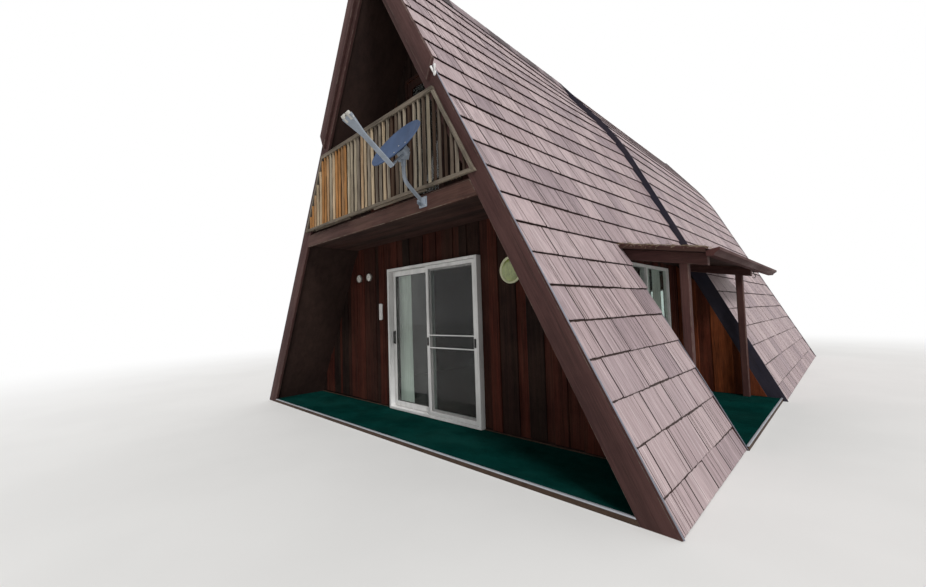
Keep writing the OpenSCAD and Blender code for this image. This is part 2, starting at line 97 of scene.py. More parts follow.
# The front wall's outer face, its thickness with its boards, and the boards alone.
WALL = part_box("front_wall_left")[0].y
WALL_THICK = 0.12
CLADDING = 0.022
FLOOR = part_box("ground_floor")[1].z
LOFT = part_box("balcony_floor")[1].z
DOOR_LOW, DOOR_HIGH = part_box("door_frame")

# The side porch: its wall's outer face, where it starts, the height of the cut in the slope, and the
# lean-to's fall.
SIDE_WALL = 2.0
PORCH_END_WALL = 0.1
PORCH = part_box("side_porch_walls")[0].y + PORCH_END_WALL
CUT_Z = (HALF - LINING / math.sin(SLOPE) - SIDE_WALL) * RIDGE / HALF
LEAN_SLOPE = 0.18

# How deep the wall fittings reach into the boards, and the radius of the dish's reflector.
WALL_SEAT = 0.018
DISH_R = 0.3

# Each board's tone moves its grain and its roughness by these, so that no two boards look alike.
GRAIN_SHIFT = (17.3, 5.1, 9.7)
ROUGH_SHIFT = (31, 13, 7)
ROUGH_SCALE = 6
END_WEAR = 0.6


def shade(code):
    """A colour of six hex digits, in linear values."""
    parts = [int(code[i:i + 2], 16) / 255 for i in (0, 2, 4)]
    return tuple(c / 12.92 if c <= 0.04045 else ((c + 0.055) / 1.055) ** 2.4 for c in parts)


def colour(name, code):
    return FloatVectorProperty(
        name=name, description=f"Colour of the {name.lower()}", default=shade(code), subtype="COLOR",
        size=3, min=0, max=1)


def length(name, description, default):
    return FloatProperty(name=name, description=description, default=default, unit="LENGTH", min=0)


def angle(name, description, default):
    return FloatProperty(
        name=name, description=description, default=math.radians(default), subtype="ANGLE")


class CabinSizes(bpy.types.PropertyGroup):
    first_course: length("First course", "Height of the lowest course, which the ground cuts off", 0.232)
    course: length("Course", "Height of one course of shake panels up the slope", 0.3225)
    panel_min: length("Narrow panel", "Narrowest shake panel", 0.38)
    panel_max: length("Wide panel", "Widest shake panel", 0.54)
    joint: length("Joint", "Open joint between two panels", 0.010)
    rib: length("Rib", "Distance between the ribs pressed into a panel", 0.03)
    butt: length("Butt", "Height of a panel's lower edge", 0.0235)
    bow: length("Bow", "Length over which the front slopes rise towards the step", 4.75)
    step_edge: length("Step edge", "Height of the bare board that shows at the step", 0.075)
    board_min: length("Narrow board", "Narrowest wall board", 0.11)
    board_max: length("Wide board", "Widest wall board", 0.19)
    picket_step: length("Picket spacing", "Distance between pickets", 0.08)
    picket: length("Picket", "Half the width of a picket", 0.0185)
    fold: length("Curtain fold", "Depth of a curtain's folds", 0.015)
    needles: IntProperty(name="Needles", description="Fallen needles on the lean-to", default=800, min=0)


class CabinColours(bpy.types.PropertyGroup):
    shake_a: colour("Shakes, light", "bba8a9")
    shake_b: colour("Shakes, middle", "ab989a")
    shake_c: colour("Shakes, dark", "9a898d")
    # Painted highlight: light lines on some ribs that stand for glints of light on them.
    score: colour("Painted glint lines", "ddd0d0")
    # Painted shade: the dark colour of the deep grooves, the panels' butt faces and the strip under each
    # course's edge.
    groove: colour("Grooves, butts and laps, painted shade", "382a28")
    underlay: colour("Underlay", "2a1f1e")
    ridge: colour("Ridge cap", "332a2c")
    # Painted shade: the step board is coloured dark navy for the shade on its front face.
    step: colour("Step board", "2b2a38")
    trim: colour("Metal trims", "b4b7bf")
    # Painted shade: a darker, bluer copy of the metal trim colour, for the rake trims.
    rake_trim: colour("Rake trims", "858793")
    board_red: colour("Wall boards, red", "4f2016")
    board_brown: colour("Wall boards, brown", "2b130e")
    board_black: colour("Wall boards, black", "170d0b")
    board_orange: colour("Wall boards, orange", "8f4a24")
    barge: colour("Bargeboards", "4a302e")
    lining: colour("Lining", "33231f")
    fascia: colour("Fascia", "50352f")
    grey_wood: colour("Grey wood", "857b6e")
    tan_wood: colour("Tan wood", "a5713c")
    pale_wood: colour("Pale wood", "c0b298")
    brown_wood: colour("Brown wood", "46362b")
    dark_wood: colour("Dark wood", "2c2320")
    post: colour("Posts", "4d2e2b")
    gutter: colour("Gutter", "4a2f2e")
    turf: colour("Turf", "0a3f3a")
    frame_white: colour("White frames", "dedddb")
    cloth: colour("Curtains", "e3e1dc")
    floor_wood: colour("Floor boards", "4c3a2d")
    dish: colour("Dish", "4a5974")
    tube: colour("Dish tubes", "9aa3ae")
    black: colour("Black plastic", "17171a")
    dial: colour("Dial faces", "e9e7e0")
    ring: colour("Dial rings", "b9b7b0")
    plate: colour("Round plate", "8f9a57")
    plate_rim: colour("Plate rim", "c9caa4")
    needle: colour("Needles", "a07a4c")
    soil: colour("Dirt", "5b4a3c")
    stage: colour("Floor and backdrop", "ecebe9")


class CabinStage(bpy.types.PropertyGroup):
    camera: FloatVectorProperty(
        name="Camera", description="Place of the camera", default=(4.1295, -8.3422, 1.4199),
        subtype="TRANSLATION", unit="LENGTH")
    yaw: angle("Yaw", "Turn of the camera from the rear direction", -44.2646)
    pitch: angle("Pitch", "Tilt of the camera above level", 2.8908)
    roll: angle("Roll", "Lean of the camera", -1.7464)
    focal: FloatProperty(name="Focal length", description="In image widths", default=397.207 / 926)
    sun: FloatProperty(name="Key light", description="Strength of the soft key light", default=2.1)
    fill: FloatProperty(name="Fill light", description="Strength of the studio's own light", default=0.5)


def sizes():
    return bpy.context.scene.cabin_sizes


def front_x(z, depth=0.0):
    """How far out the front section reaches at a height, that depth below its surface."""
    return HALF - depth / math.sin(SLOPE) - z * HALF / RIDGE


def front_z(x, depth=0.0):
    """How high the front section reaches at a place across it, that depth below its surface."""
    return (HALF - depth / math.sin(SLOPE) - abs(x)) * RIDGE / HALF


def front_line(depth=0.0):
    return [(front_x(0, depth), 0), (0, front_z(0, depth))]


def back_line(depth=0.0):
    """The rear section's outline at a depth below its surface, from the ground to the ridge."""
    low = math.atan2(KNEE_H, BACK_HALF - KNEE_X)
    top = math.atan2(RIDGE - KNEE_H, KNEE_X)
    middle = (low + top) / 2
    reach = KNEE_R / math.cos((low - top) / 2)
    x, z = KNEE_X - reach * math.sin(middle), KNEE_H - reach * math.cos(middle)
    arc = [low + (top - low) * i / 6 for i in range(7)]
    bend = [(x + (KNEE_R - depth) * math.sin(t), z + (KNEE_R - depth) * math.cos(t)) for t in arc]
    return [(BACK_HALF - depth / math.sin(low), 0), *bend, (0, RIDGE - depth / math.cos(top))]


def back_z(x, depth=0.0):
    line = back_line(depth)
    for (x0, z0), (x1, z1) in zip(line, line[1:]):
        if x1 <= abs(x) <= x0:
            return z0 + (z1 - z0) * (x0 - abs(x)) / (x0 - x1)
    return 0.0


def follow(line):
    """Returns a roof line's length, its corners' distances, and a function that places a point.

    The function takes the distance along the line and the height above it, and returns (x, z).
    """
    marks = [0.0]
    for (x0, z0), (x1, z1) in zip(line, line[1:]):
        marks.append(marks[-1] + math.hypot(x1 - x0, z1 - z0))

    def at(s, h):
        i = max(k for k in range(len(line) - 1) if k == 0 or marks[k] <= s + 1e-9)
        (x0, z0), (x1, z1) = line[i], line[i + 1]
        run = marks[i + 1] - marks[i]
        t = (s - marks[i]) / run
        return (x0 + (x1 - x0) * t + (z1 - z0) / run * h, z0 + (z1 - z0) * t + (x0 - x1) / run * h)

    return marks[-1], marks, at


def slope_grain(p):
    """Grain that runs up the roof's slope, on both sides alike."""
    c, s = math.cos(SLOPE), math.sin(SLOPE)
    return (-abs(p[0]) * c + p[2] * s, p[1], abs(p[0]) * s + p[2] * c)


GRAINS = {
    "x": lambda p: (p[0], p[1], p[2]),
    "y": lambda p: (p[1], p[2], p[0]),
    "z": lambda p: (p[2], p[0], p[1]),
    "slope": slope_grain,
}


def steps(count):
    return [i / count for i in range(count + 1)]


def boxed(a0, a1, b0, b1, edge=0.004):
    """A rectangle with its corners taken off. The third number marks the worn corner faces."""
    e = min(edge, (a1 - a0) / 3, (b1 - b0) / 3)
    return [
        (a0 + e, b0, 0), (a1 - e, b0, 1), (a1, b0 + e, 0), (a1, b1 - e, 1),
        (a1 - e, b1, 0), (a0 + e, b1, 1), (a0, b1 - e, 0), (a0, b0 + e, 1)]


def half_log(half, depth, count=6):
    turns = [math.pi * i / count for i in range(count + 1)]
    return [(half * math.cos(t), depth * math.sin(t), 0) for t in turns]


def circle(radius, count=12):
    turns = [math.tau * i / count for i in range(count)]
    return [(radius * math.cos(t), radius * math.sin(t), 0) for t in turns]


class Piece:
    """Gathers the faces of one piece. Each face has a tone, a wear and a finish, each point its grain."""

    def __init__(self, name):
        self.name = name
        self.rng = random.Random(name)
        self.points, self.grain, self.faces = [], [], []
        self.tone, self.worn, self.finish = [], [], []

    def add(self, points, faces, tone=None, worn=0.0, along="z", finish=0):
        """Adds faces; worn and finish are one value for all of them or a list with one for each."""
        tone = self.rng.random() if tone is None else tone
        start = len(self.points)
        shift = Vector([tone * size for size in GRAIN_SHIFT])
        self.points += [tuple(p) for p in points]
        self.grain += [tuple(Vector(GRAINS[along](p)) + shift) for p in points]
        self.faces += [[start + i for i in face] for face in faces]
        self.tone += [tone] * len(faces)
        self.worn += list(worn) if hasattr(worn, "__len__") else [worn] * len(faces)
        self.finish += list(finish) if hasattr(finish, "__len__") else [finish] * len(faces)

    def solid(self, section, marks, place, tone=None, rough=0.0, along="z", finish=0, loop=False):
        """Sweeps a section through the marks from 0 to 1; place turns (a, b, mark) into a point."""
        tone = self.rng.random() if tone is None else tone
        shift = Vector([tone * size for size in ROUGH_SHIFT])
        points = []
        for t in marks:
            for a, b, _ in section:
                p = Vector(place(a, b, t))
                if rough:
                    p = p + noise.noise_vector(p * ROUGH_SCALE + shift) * rough
                points.append(p)
        n, rings = len(section), len(marks)
        faces, worn = [], []
        for k in range(rings if loop else rings - 1):
            for i in range(n):
                j, m = (i + 1) % n, (k + 1) % rings
                faces.append((k * n + i, k * n + j, m * n + j, m * n + i))
                worn.append(float(section[i][2]))
        if not loop:
            faces += [tuple(reversed(range(n))), tuple(range((rings - 1) * n, rings * n))]
            worn += [END_WEAR, END_WEAR]
        self.add(points, faces, tone, worn, along, finish)

    def bar(self, p0, p1, section, tone=None, along="z", finish=0, cuts=1, rough=0.0, up=(0, 0, 1)):
        """A straight bar between two points; the section's second number goes down where up is +Z."""
        p0, p1 = Vector(p0), Vector(p1)
        way = (p1 - p0).normalized()
        side = way.cross(Vector(up))
        side = side.normalized() if side.length > 1e-4 else Vector((1, 0, 0))
        other = way.cross(side)

        def place(a, b, t):
            return p0.lerp(p1, t) + side * a + other * b

        self.solid(section, steps(cuts), place, tone, rough, along, finish)

    def tube(self, path, radius, tone=0.5, finish=0, count=10, along="z"):
        """A round bar along a path, each ring square to it."""
        path = [Vector(p) for p in path]
        points = []
        side = None
        for i, p in enumerate(path):
            way = (path[min(i + 1, len(path) - 1)] - path[max(i - 1, 0)]).normalized()
            if side is None:
                side = way.orthogonal().normalized()
            side = (side - way * side.dot(way)).normalized()
            other = way.cross(side)
            r = radius[i] if hasattr(radius, "__len__") else radius
            points += [p + side * a * r + other * b * r for a, b, _ in circle(1, count)]
        faces = [(k * count + i, k * count + (i + 1) % count, (k + 1) * count + (i + 1) % count,
                  (k + 1) * count + i) for k in range(len(path) - 1) for i in range(count)]
        faces += [tuple(reversed(range(count))), tuple(range(len(points) - count, len(points)))]
        self.add(points, faces, tone, 0.0, along, finish)

    def lathe(self, profile, spot, count=48, tone=0.5, finish=0):
        """Turns a closed profile of (radius, height) round its axis; spot places (x, y, height)."""
        section = [(r, h, 0) for r, h in profile]
        marks = [i / count for i in range(count)]

        def place(r, h, t):
            return spot(r * math.cos(math.tau * t), r * math.sin(math.tau * t), h)

        self.solid(section, marks, place, tone, 0.0, "z", finish, True)

    def slab(self, outline, spot, w0, w1, tone=0.5, along="z", finish=0):
        """A flat plate with that outline, between two depths."""
        n = len(outline)
        points = [spot(u, v, w) for w in (w0, w1) for u, v in outline]
        faces = [tuple(reversed(range(n))), tuple(range(n, 2 * n))]
        faces += [(i, (i + 1) % n, n + (i + 1) % n, n + i) for i in range(n)]
        self.add(points, faces, tone, 0.0, along, finish)

    def make(self, body, finishes, replaces=(), smooth=35, turn=True):
        """Makes the object on its body; turn makes its faces point out, smooth is the sharp angle."""
        mesh = bpy.data.meshes.new(self.name)
        mesh.from_pydata(self.points, [], self.faces)
        for key in finishes:
            mesh.materials.append(finish(key))
        mesh.polygons.foreach_set("material_index", self.finish)
        for name, values in (("tone", self.tone), ("worn", self.worn)):
            mesh.attributes.new(name, "FLOAT", "FACE").data.foreach_set("value", values)
        flat = [value for point in self.grain for value in point]
        mesh.attributes.new("grain", "FLOAT_VECTOR", "POINT").data.foreach_set("vector", flat)
        if turn:
            bm = bmesh.new()
            bm.from_mesh(mesh)
            bmesh.ops.recalc_face_normals(bm, faces=bm.faces)
            bm.to_mesh(mesh)
            bm.free()
        mesh.validate()
        mesh.shade_smooth()
        mesh.set_sharp_from_angle(angle=math.radians(smooth))
        obj = bpy.data.objects.new(self.name, mesh)
        bpy.context.scene.collection.objects.link(obj)
        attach(obj, body)
        if replaces:
            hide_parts(*replaces)
        return obj


def refined(node, body, keys, name, edge=0.003, along="z"):
    """A copy of a CAD node with eased edges that stands for the node, with its finish's grain and wear."""
    flat, sharp_from = math.radians(0.5), math.radians(30)
    bm = bmesh.new()
    bm.from_mesh(frame["nodes"][node].data)
    bmesh.ops.remove_doubles(bm, verts=bm.verts, dist=1e-5)
    bmesh.ops.dissolve_limit(bm, angle_limit=flat, verts=bm.verts, edges=bm.edges)
    sharp = [e for e in bm.edges if len(e.link_faces) == 2 and e.calc_face_angle(0) > sharp_from]
    made = bmesh.ops.bevel(
        bm, geom=sharp, offset=edge, segments=2, profile=0.6, affect="EDGES", clamp_overlap=True)
    eased = set(made["faces"])
    bmesh.ops.recalc_face_normals(bm, faces=bm.faces)
    bm.verts.index_update()
    group = {}
    rng = random.Random(name)
    for vert in bm.verts:
        if vert in group:
            continue
        tone = rng.random()
        stack = [vert]
        group[vert] = tone
        while stack:
            for link in stack.pop().link_edges:
                for other in link.verts:
                    if other not in group:
                        group[other] = tone
                        stack.append(other)
    piece = Piece(name)
    for tone in sorted(set(group.values())):
        verts = [v for v in bm.verts if group[v] == tone]
        place = {v: i for i, v in enumerate(verts)}
        faces = [f for f in bm.faces if group[f.verts[0]] == tone]
        piece.add([v.co.copy() for v in verts], [[place[v] for v in f.verts] for f in faces], tone,
                  [1.0 if f in eased else 0.0 for f in faces], along)
    bm.free()
    return piece.make(body, keys, (node,), turn=False)


def put(tree, kind, inputs, out=0, **settings):
    """Adds a shader node, sets it, feeds its inputs and returns the output asked for."""
    node = tree.nodes.new("ShaderNode" + kind)
    for key, value in settings.items():
        setattr(node, key, value)
    for key, value in (inputs.items() if isinstance(inputs, dict) else enumerate(inputs)):
        if isinstance(value, bpy.types.NodeSocket):
            tree.links.new(value, node.inputs[key])
        elif value is not None:
            node.inputs[key].default_value = value
    return node.outputs[out] if node.outputs else None


def maths(tree, operation, a, b=None, c=None, clamp=False):
    return put(tree, "Math", [a, b, c], operation=operation, use_clamp=clamp)


def between(tree, value, low, high, to_low=0.0, to_high=1.0):
    return put(tree, "MapRange", [value, low, high, to_low, to_high], interpolation_type="SMOOTHSTEP")


def mix(tree, factor, a, b, mode="MIX"):
    a, b = ((*v, 1) if isinstance(v, tuple) else v for v in (a, b))
    return put(tree, "Mix", {0: factor, 6: a, 7: b}, out=2, data_type="RGBA", blend_type=mode)


def stretched(tree, vector, along, across, detail=3.0, rough=0.6):
    """Noise that is drawn out along the grain; along and across are counts per metre."""
    scale = put(tree, "CombineXYZ", [along, across, across])
    scaled = put(tree, "VectorMath", [vector, scale], operation="MULTIPLY")
    return put(tree, "TexNoise", {"Vector": scaled, "Scale": 1.0, "Detail": detail, "Roughness": rough})


def group(name, inputs, outputs):
    """Starts a shader node group and returns its tree, its inputs and its outputs."""
    tree = bpy.data.node_groups.new(name, "ShaderNodeTree")
    for label, kind, value in inputs:
        socket = tree.interface.new_socket(label, in_out="INPUT", socket_type="NodeSocket" + kind)
        socket.default_value = value
    for label in outputs:
        tree.interface.new_socket(label, in_out="OUTPUT", socket_type="NodeSocketFloat")
    return tree, tree.nodes.new("NodeGroupInput").outputs, tree.nodes.new("NodeGroupOutput").inputs


def grain_group():
    """Broad streaks, fine fibre and open checks along the grain."""
    takes = [
        ("Grain", "Vector", (0, 0, 0)),
        ("Streak length", "Float", 1.3),
        ("Streak width", "Float", 12.0),
        ("Fibre length", "Float", 6.0),
        ("Fibre width", "Float", 170.0)]
    tree, has, gives = group("Grain", takes, ["Streak", "Fibre", "Check"])
    streak = stretched(tree, has["Grain"], has["Streak length"], has["Streak width"])
    fibre = stretched(tree, has["Grain"], has["Fibre length"], has["Fibre width"], 2.0)
    crack = stretched(tree, has["Grain"], has["Streak length"], has["Fibre width"], 1.0)
    tree.links.new(between(tree, streak, 0.3, 0.7), gives["Streak"])
    tree.links.new(between(tree, fibre, 0.25, 0.75), gives["Fibre"])
    tree.links.new(between(tree, crack, 0.66, 0.72), gives["Check"])
    return tree


def weather_group():
    """Patches, runs and specks by the place on the object."""
    tree, has, gives = group("Weather", [("Patch size", "Float", 1.4)], ["Patch", "Run", "Speck"])
    place = put(tree, "TexCoord", [], out="Object")
    patch = put(tree, "TexNoise", {
        "Vector": place, "Scale": has["Patch size"], "Detail": 5.0, "Roughness": 0.65})
    down = put(tree, "VectorMath", [place, (14.0, 14.0, 0.9)], operation="MULTIPLY")
    run = put(tree, "TexNoise", {"Vector": down, "Scale": 1.0, "Detail": 4.0})
    speck = put(tree, "TexNoise", {"Vector": place, "Scale": 160.0, "Detail": 2.0})
    tree.links.new(between(tree, patch, 0.32, 0.68), gives["Patch"])
    tree.links.new(between(tree, run, 0.45, 0.75), gives["Run"])
    tree.links.new(between(tree, speck, 0.35, 0.65), gives["Speck"])
    return tree


def wear_group():
    """Where an edge is rubbed bare."""
    tree, has, gives = group("Edge wear", [("Amount", "Float", 0.5)], ["Bare"])
    worn = put(tree, "Attribute", [], out="Fac", attribute_name="worn")
    place = put(tree, "TexCoord", [], out="Object")
    patch = put(tree, "TexNoise", {"Vector": place, "Scale": 9.0, "Detail": 5.0, "Roughness": 0.7})
    patch = between(tree, patch, 0.4, 0.65)
    rubbed = maths(tree, "MULTIPLY", worn, patch)
    tree.links.new(maths(tree, "MULTIPLY", rubbed, has["Amount"], clamp=True), gives["Bare"])
    return tree


def tone_group():
    """Each board's own lightness, from its faces, or from its place where Board width is set."""
    takes = [("Grain", "Vector", (0, 0, 0)), ("Board width", "Float", 0.0)]
    tree, has, gives = group("Board tone", takes, ["Tone", "Seam"])
    own = put(tree, "Attribute", [], out="Fac", attribute_name="tone")
    across = put(tree, "SeparateXYZ", [has["Grain"]], out="Y")
    cell = maths(tree, "DIVIDE", across, maths(tree, "MAXIMUM", has["Board width"], 0.001))
    number = maths(tree, "FLOOR", cell)
    chosen = put(tree, "TexWhiteNoise", {"W": number}, noise_dimensions="1D")
    planked = maths(tree, "GREATER_THAN", has["Board width"], 0.0005)
    both = put(tree, "Mix", {0: planked, 2: own, 3: chosen}, data_type="FLOAT")
    edge = maths(tree, "ABSOLUTE", maths(tree, "SUBTRACT", maths(tree, "FRACT", cell), 0.5))
    seam = maths(tree, "MULTIPLY", between(tree, edge, 0.465, 0.49), planked)
    tree.links.new(both, gives["Tone"])
    tree.links.new(seam, gives["Seam"])
    return tree


def weave_group():
    """Threads of a cloth or a mesh, over and under each other."""
    takes = [("Grain", "Vector", (0, 0, 0)), ("Threads", "Float", 500.0)]
    tree, has, gives = group("Weave", takes, ["Thread", "Gap"])
    x, y, z = (put(tree, "SeparateXYZ", [has["Grain"]], out=i) for i in range(3))
    turns = maths(tree, "MULTIPLY", has["Threads"], math.tau)
    warp = maths(tree, "SINE", maths(tree, "MULTIPLY", x, turns))
    weft = maths(tree, "SINE", maths(tree, "MULTIPLY", maths(tree, "ADD", y, z), turns))
    both = maths(tree, "MULTIPLY", warp, weft)
    tree.links.new(between(tree, both, -1.0, 1.0), gives["Thread"])
    tree.links.new(between(tree, maths(tree, "MAXIMUM", warp, weft), -0.5, 0.6), gives["Gap"])
    return tree


GROUPS = {
    "Grain": grain_group,
    "Weather": weather_group,
    "Edge wear": wear_group,
    "Board tone": tone_group,
    "Weave": weave_group,
}


def use(tree, name, **inputs):
    """Places a shared node group in a material and returns its outputs."""
    node = tree.nodes.new("ShaderNodeGroup")
    node.node_tree = bpy.data.node_groups.get(name) or GROUPS[name]()
    for key, value in inputs.items():
        key = key.replace("_", " ")
        if isinstance(value, bpy.types.NodeSocket):
            tree.links.new(value, node.inputs[key])
        else:
            node.inputs[key].default_value = value
    return node.outputs


def coat(name, tones, rough=0.7, dark=0.55, streaks=(1.3, 12.0), fibres=(6.0, 170.0), bump=0.0015,
         metal=0.0, gloss=0.0, wear=0.4, bare="pale_wood", dirt=0.25, runs=0.0, along=None, boards=0.0,
         weave=0.0, fibre_mix=0.35, alpha=None, mirror=0.5, checks=0.6):
    """A finish: coloured by tone and streaks, rubbed at the edges, with dirt, fibre roughness and bump.

    tones are the colours from the lowest tone to the highest; streaks and fibres are counts per metre
    along and across the grain, which goes by the axis along where that is set; boards is a board's
    width; weave is the number of threads to a metre, and alpha the opacity of a thread and of a gap.
    """
    paints = bpy.context.scene.cabin_colours
    material = bpy.data.materials.new(name)
    material.use_nodes = True
    tree = material.node_tree
    tree.nodes.clear()
    if along:
        place = put(tree, "TexCoord", [], out="Object")
        order = {"x": "XYZ", "y": "YZX", "z": "ZXY"}
        parts = [put(tree, "SeparateXYZ", [place], out=axis) for axis in order[along]]
        grain = put(tree, "CombineXYZ", parts)
    else:
        grain = put(tree, "Attribute", [], out="Vector", attribute_name="grain")
    lines = use(tree, "Grain", Grain=grain, Streak_length=streaks[0], Streak_width=streaks[1],
                Fibre_length=fibres[0], Fibre_width=fibres[1])
    weather = use(tree, "Weather")
    tone = use(tree, "Board tone", Grain=grain, Board_width=boards)
    bare_mask = use(tree, "Edge wear", Amount=wear)["Bare"]
    ramp = tree.nodes.new("ShaderNodeValToRGB")
    while len(ramp.color_ramp.elements) < len(tones):
        ramp.color_ramp.elements.new(0.5)
    last = len(ramp.color_ramp.elements) - 1
    for i, element in enumerate(ramp.color_ramp.elements):
        element.position = i / last
        element.color = (*getattr(paints, tones[min(i, len(tones) - 1)]), 1)
    tree.links.new(tone["Tone"], ramp.inputs[0])
    mixed = put(tree, "Mix", {0: 0.35, 2: lines["Streak"], 3: weather["Patch"]}, data_type="FLOAT")
    mixed = put(tree, "Mix", {0: fibre_mix, 2: mixed, 3: lines["Fibre"]}, data_type="FLOAT")
    level = put(tree, "MapRange", [mixed, 0.15, 0.85, dark, 1.12])
    grey = put(tree, "CombineColor", [level, level, level])
    shown = mix(tree, 1.0, ramp.outputs[0], grey, "MULTIPLY")
    black = (0.012, 0.008, 0.006)
    shown = mix(tree, maths(tree, "MULTIPLY", lines["Check"], checks), shown, black)
    shown = mix(tree, tone["Seam"], shown, black)
    shown = mix(tree, bare_mask, shown, tuple(getattr(paints, bare)))
    grime = maths(tree, "MULTIPLY", maths(tree, "MULTIPLY", weather["Patch"], weather["Speck"]), dirt)
    if runs:
        grime = maths(tree, "ADD", grime, maths(tree, "MULTIPLY", weather["Run"], runs), clamp=True)
    shown = mix(tree, grime, shown, tuple(paints.soil))
    height = put(tree, "Mix", {0: 0.4, 2: lines["Fibre"], 3: lines["Streak"]}, data_type="FLOAT")
    height = maths(tree, "SUBTRACT", height, maths(tree, "ADD", lines["Check"], tone["Seam"]))
    if weave:
        threads = use(tree, "Weave", Grain=grain, Threads=weave)
        height = maths(tree, "ADD", height, threads["Thread"])
    normal = put(tree, "Bump", {"Strength": 0.8, "Distance": bump, "Height": height})
    dullest, brightest = min(1.0, rough + 0.14), max(0.05, rough - 0.1)
    shine = put(tree, "MapRange", [mixed, 0.0, 1.0, dullest, brightest])
    shine = maths(tree, "ADD", shine, maths(tree, "MULTIPLY", grime, 0.3), clamp=True)
    surface = {
        "Base Color": shown, "Roughness": shine, "Metallic": metal, "Normal": normal,
        "Coat Weight": gloss, "Coat Roughness": 0.25, "Specular IOR Level": mirror}
    if alpha is not None:
        surface["Alpha"] = put(tree, "MapRange", [threads["Gap"], 0.0, 1.0, alpha[0], alpha[1]])
    shader = put(tree, "BsdfPrincipled", surface)
    put(tree, "OutputMaterial", [shader])
    return material


def clear_glass(name):
    """Window glass: its front mirrors by Fresnel, the room shows through, and dust lies on it."""
    material = bpy.data.materials.new(name)
    material.use_nodes = True
    tree = material.node_tree
    tree.nodes.clear()
    weather = use(tree, "Weather", Patch_size=2.2)
    film = put(tree, "MapRange", [weather["Patch"], 0.0, 1.0, 0.015, 0.06])
    dusty = mix(tree, weather["Speck"], (0.55, 0.55, 0.52), (0.75, 0.75, 0.72))
    through = put(tree, "BsdfTransparent", [(0.86, 0.91, 0.89, 1)])
    mirror = put(tree, "BsdfGlossy", {"Color": (1, 1, 1, 1), "Roughness": 0.03})
    dust = put(tree, "BsdfDiffuse", {"Color": dusty})
    front = maths(tree, "SUBTRACT", 1.0, put(tree, "NewGeometry", [], out="Backfacing"))
    shine = maths(tree, "MULTIPLY", put(tree, "Fresnel", {"IOR": 1.5}), front)
    clean = put(tree, "MixShader", [shine, through, mirror])
    put(tree, "OutputMaterial", [put(tree, "MixShader", [film, clean, dust])])
    return material


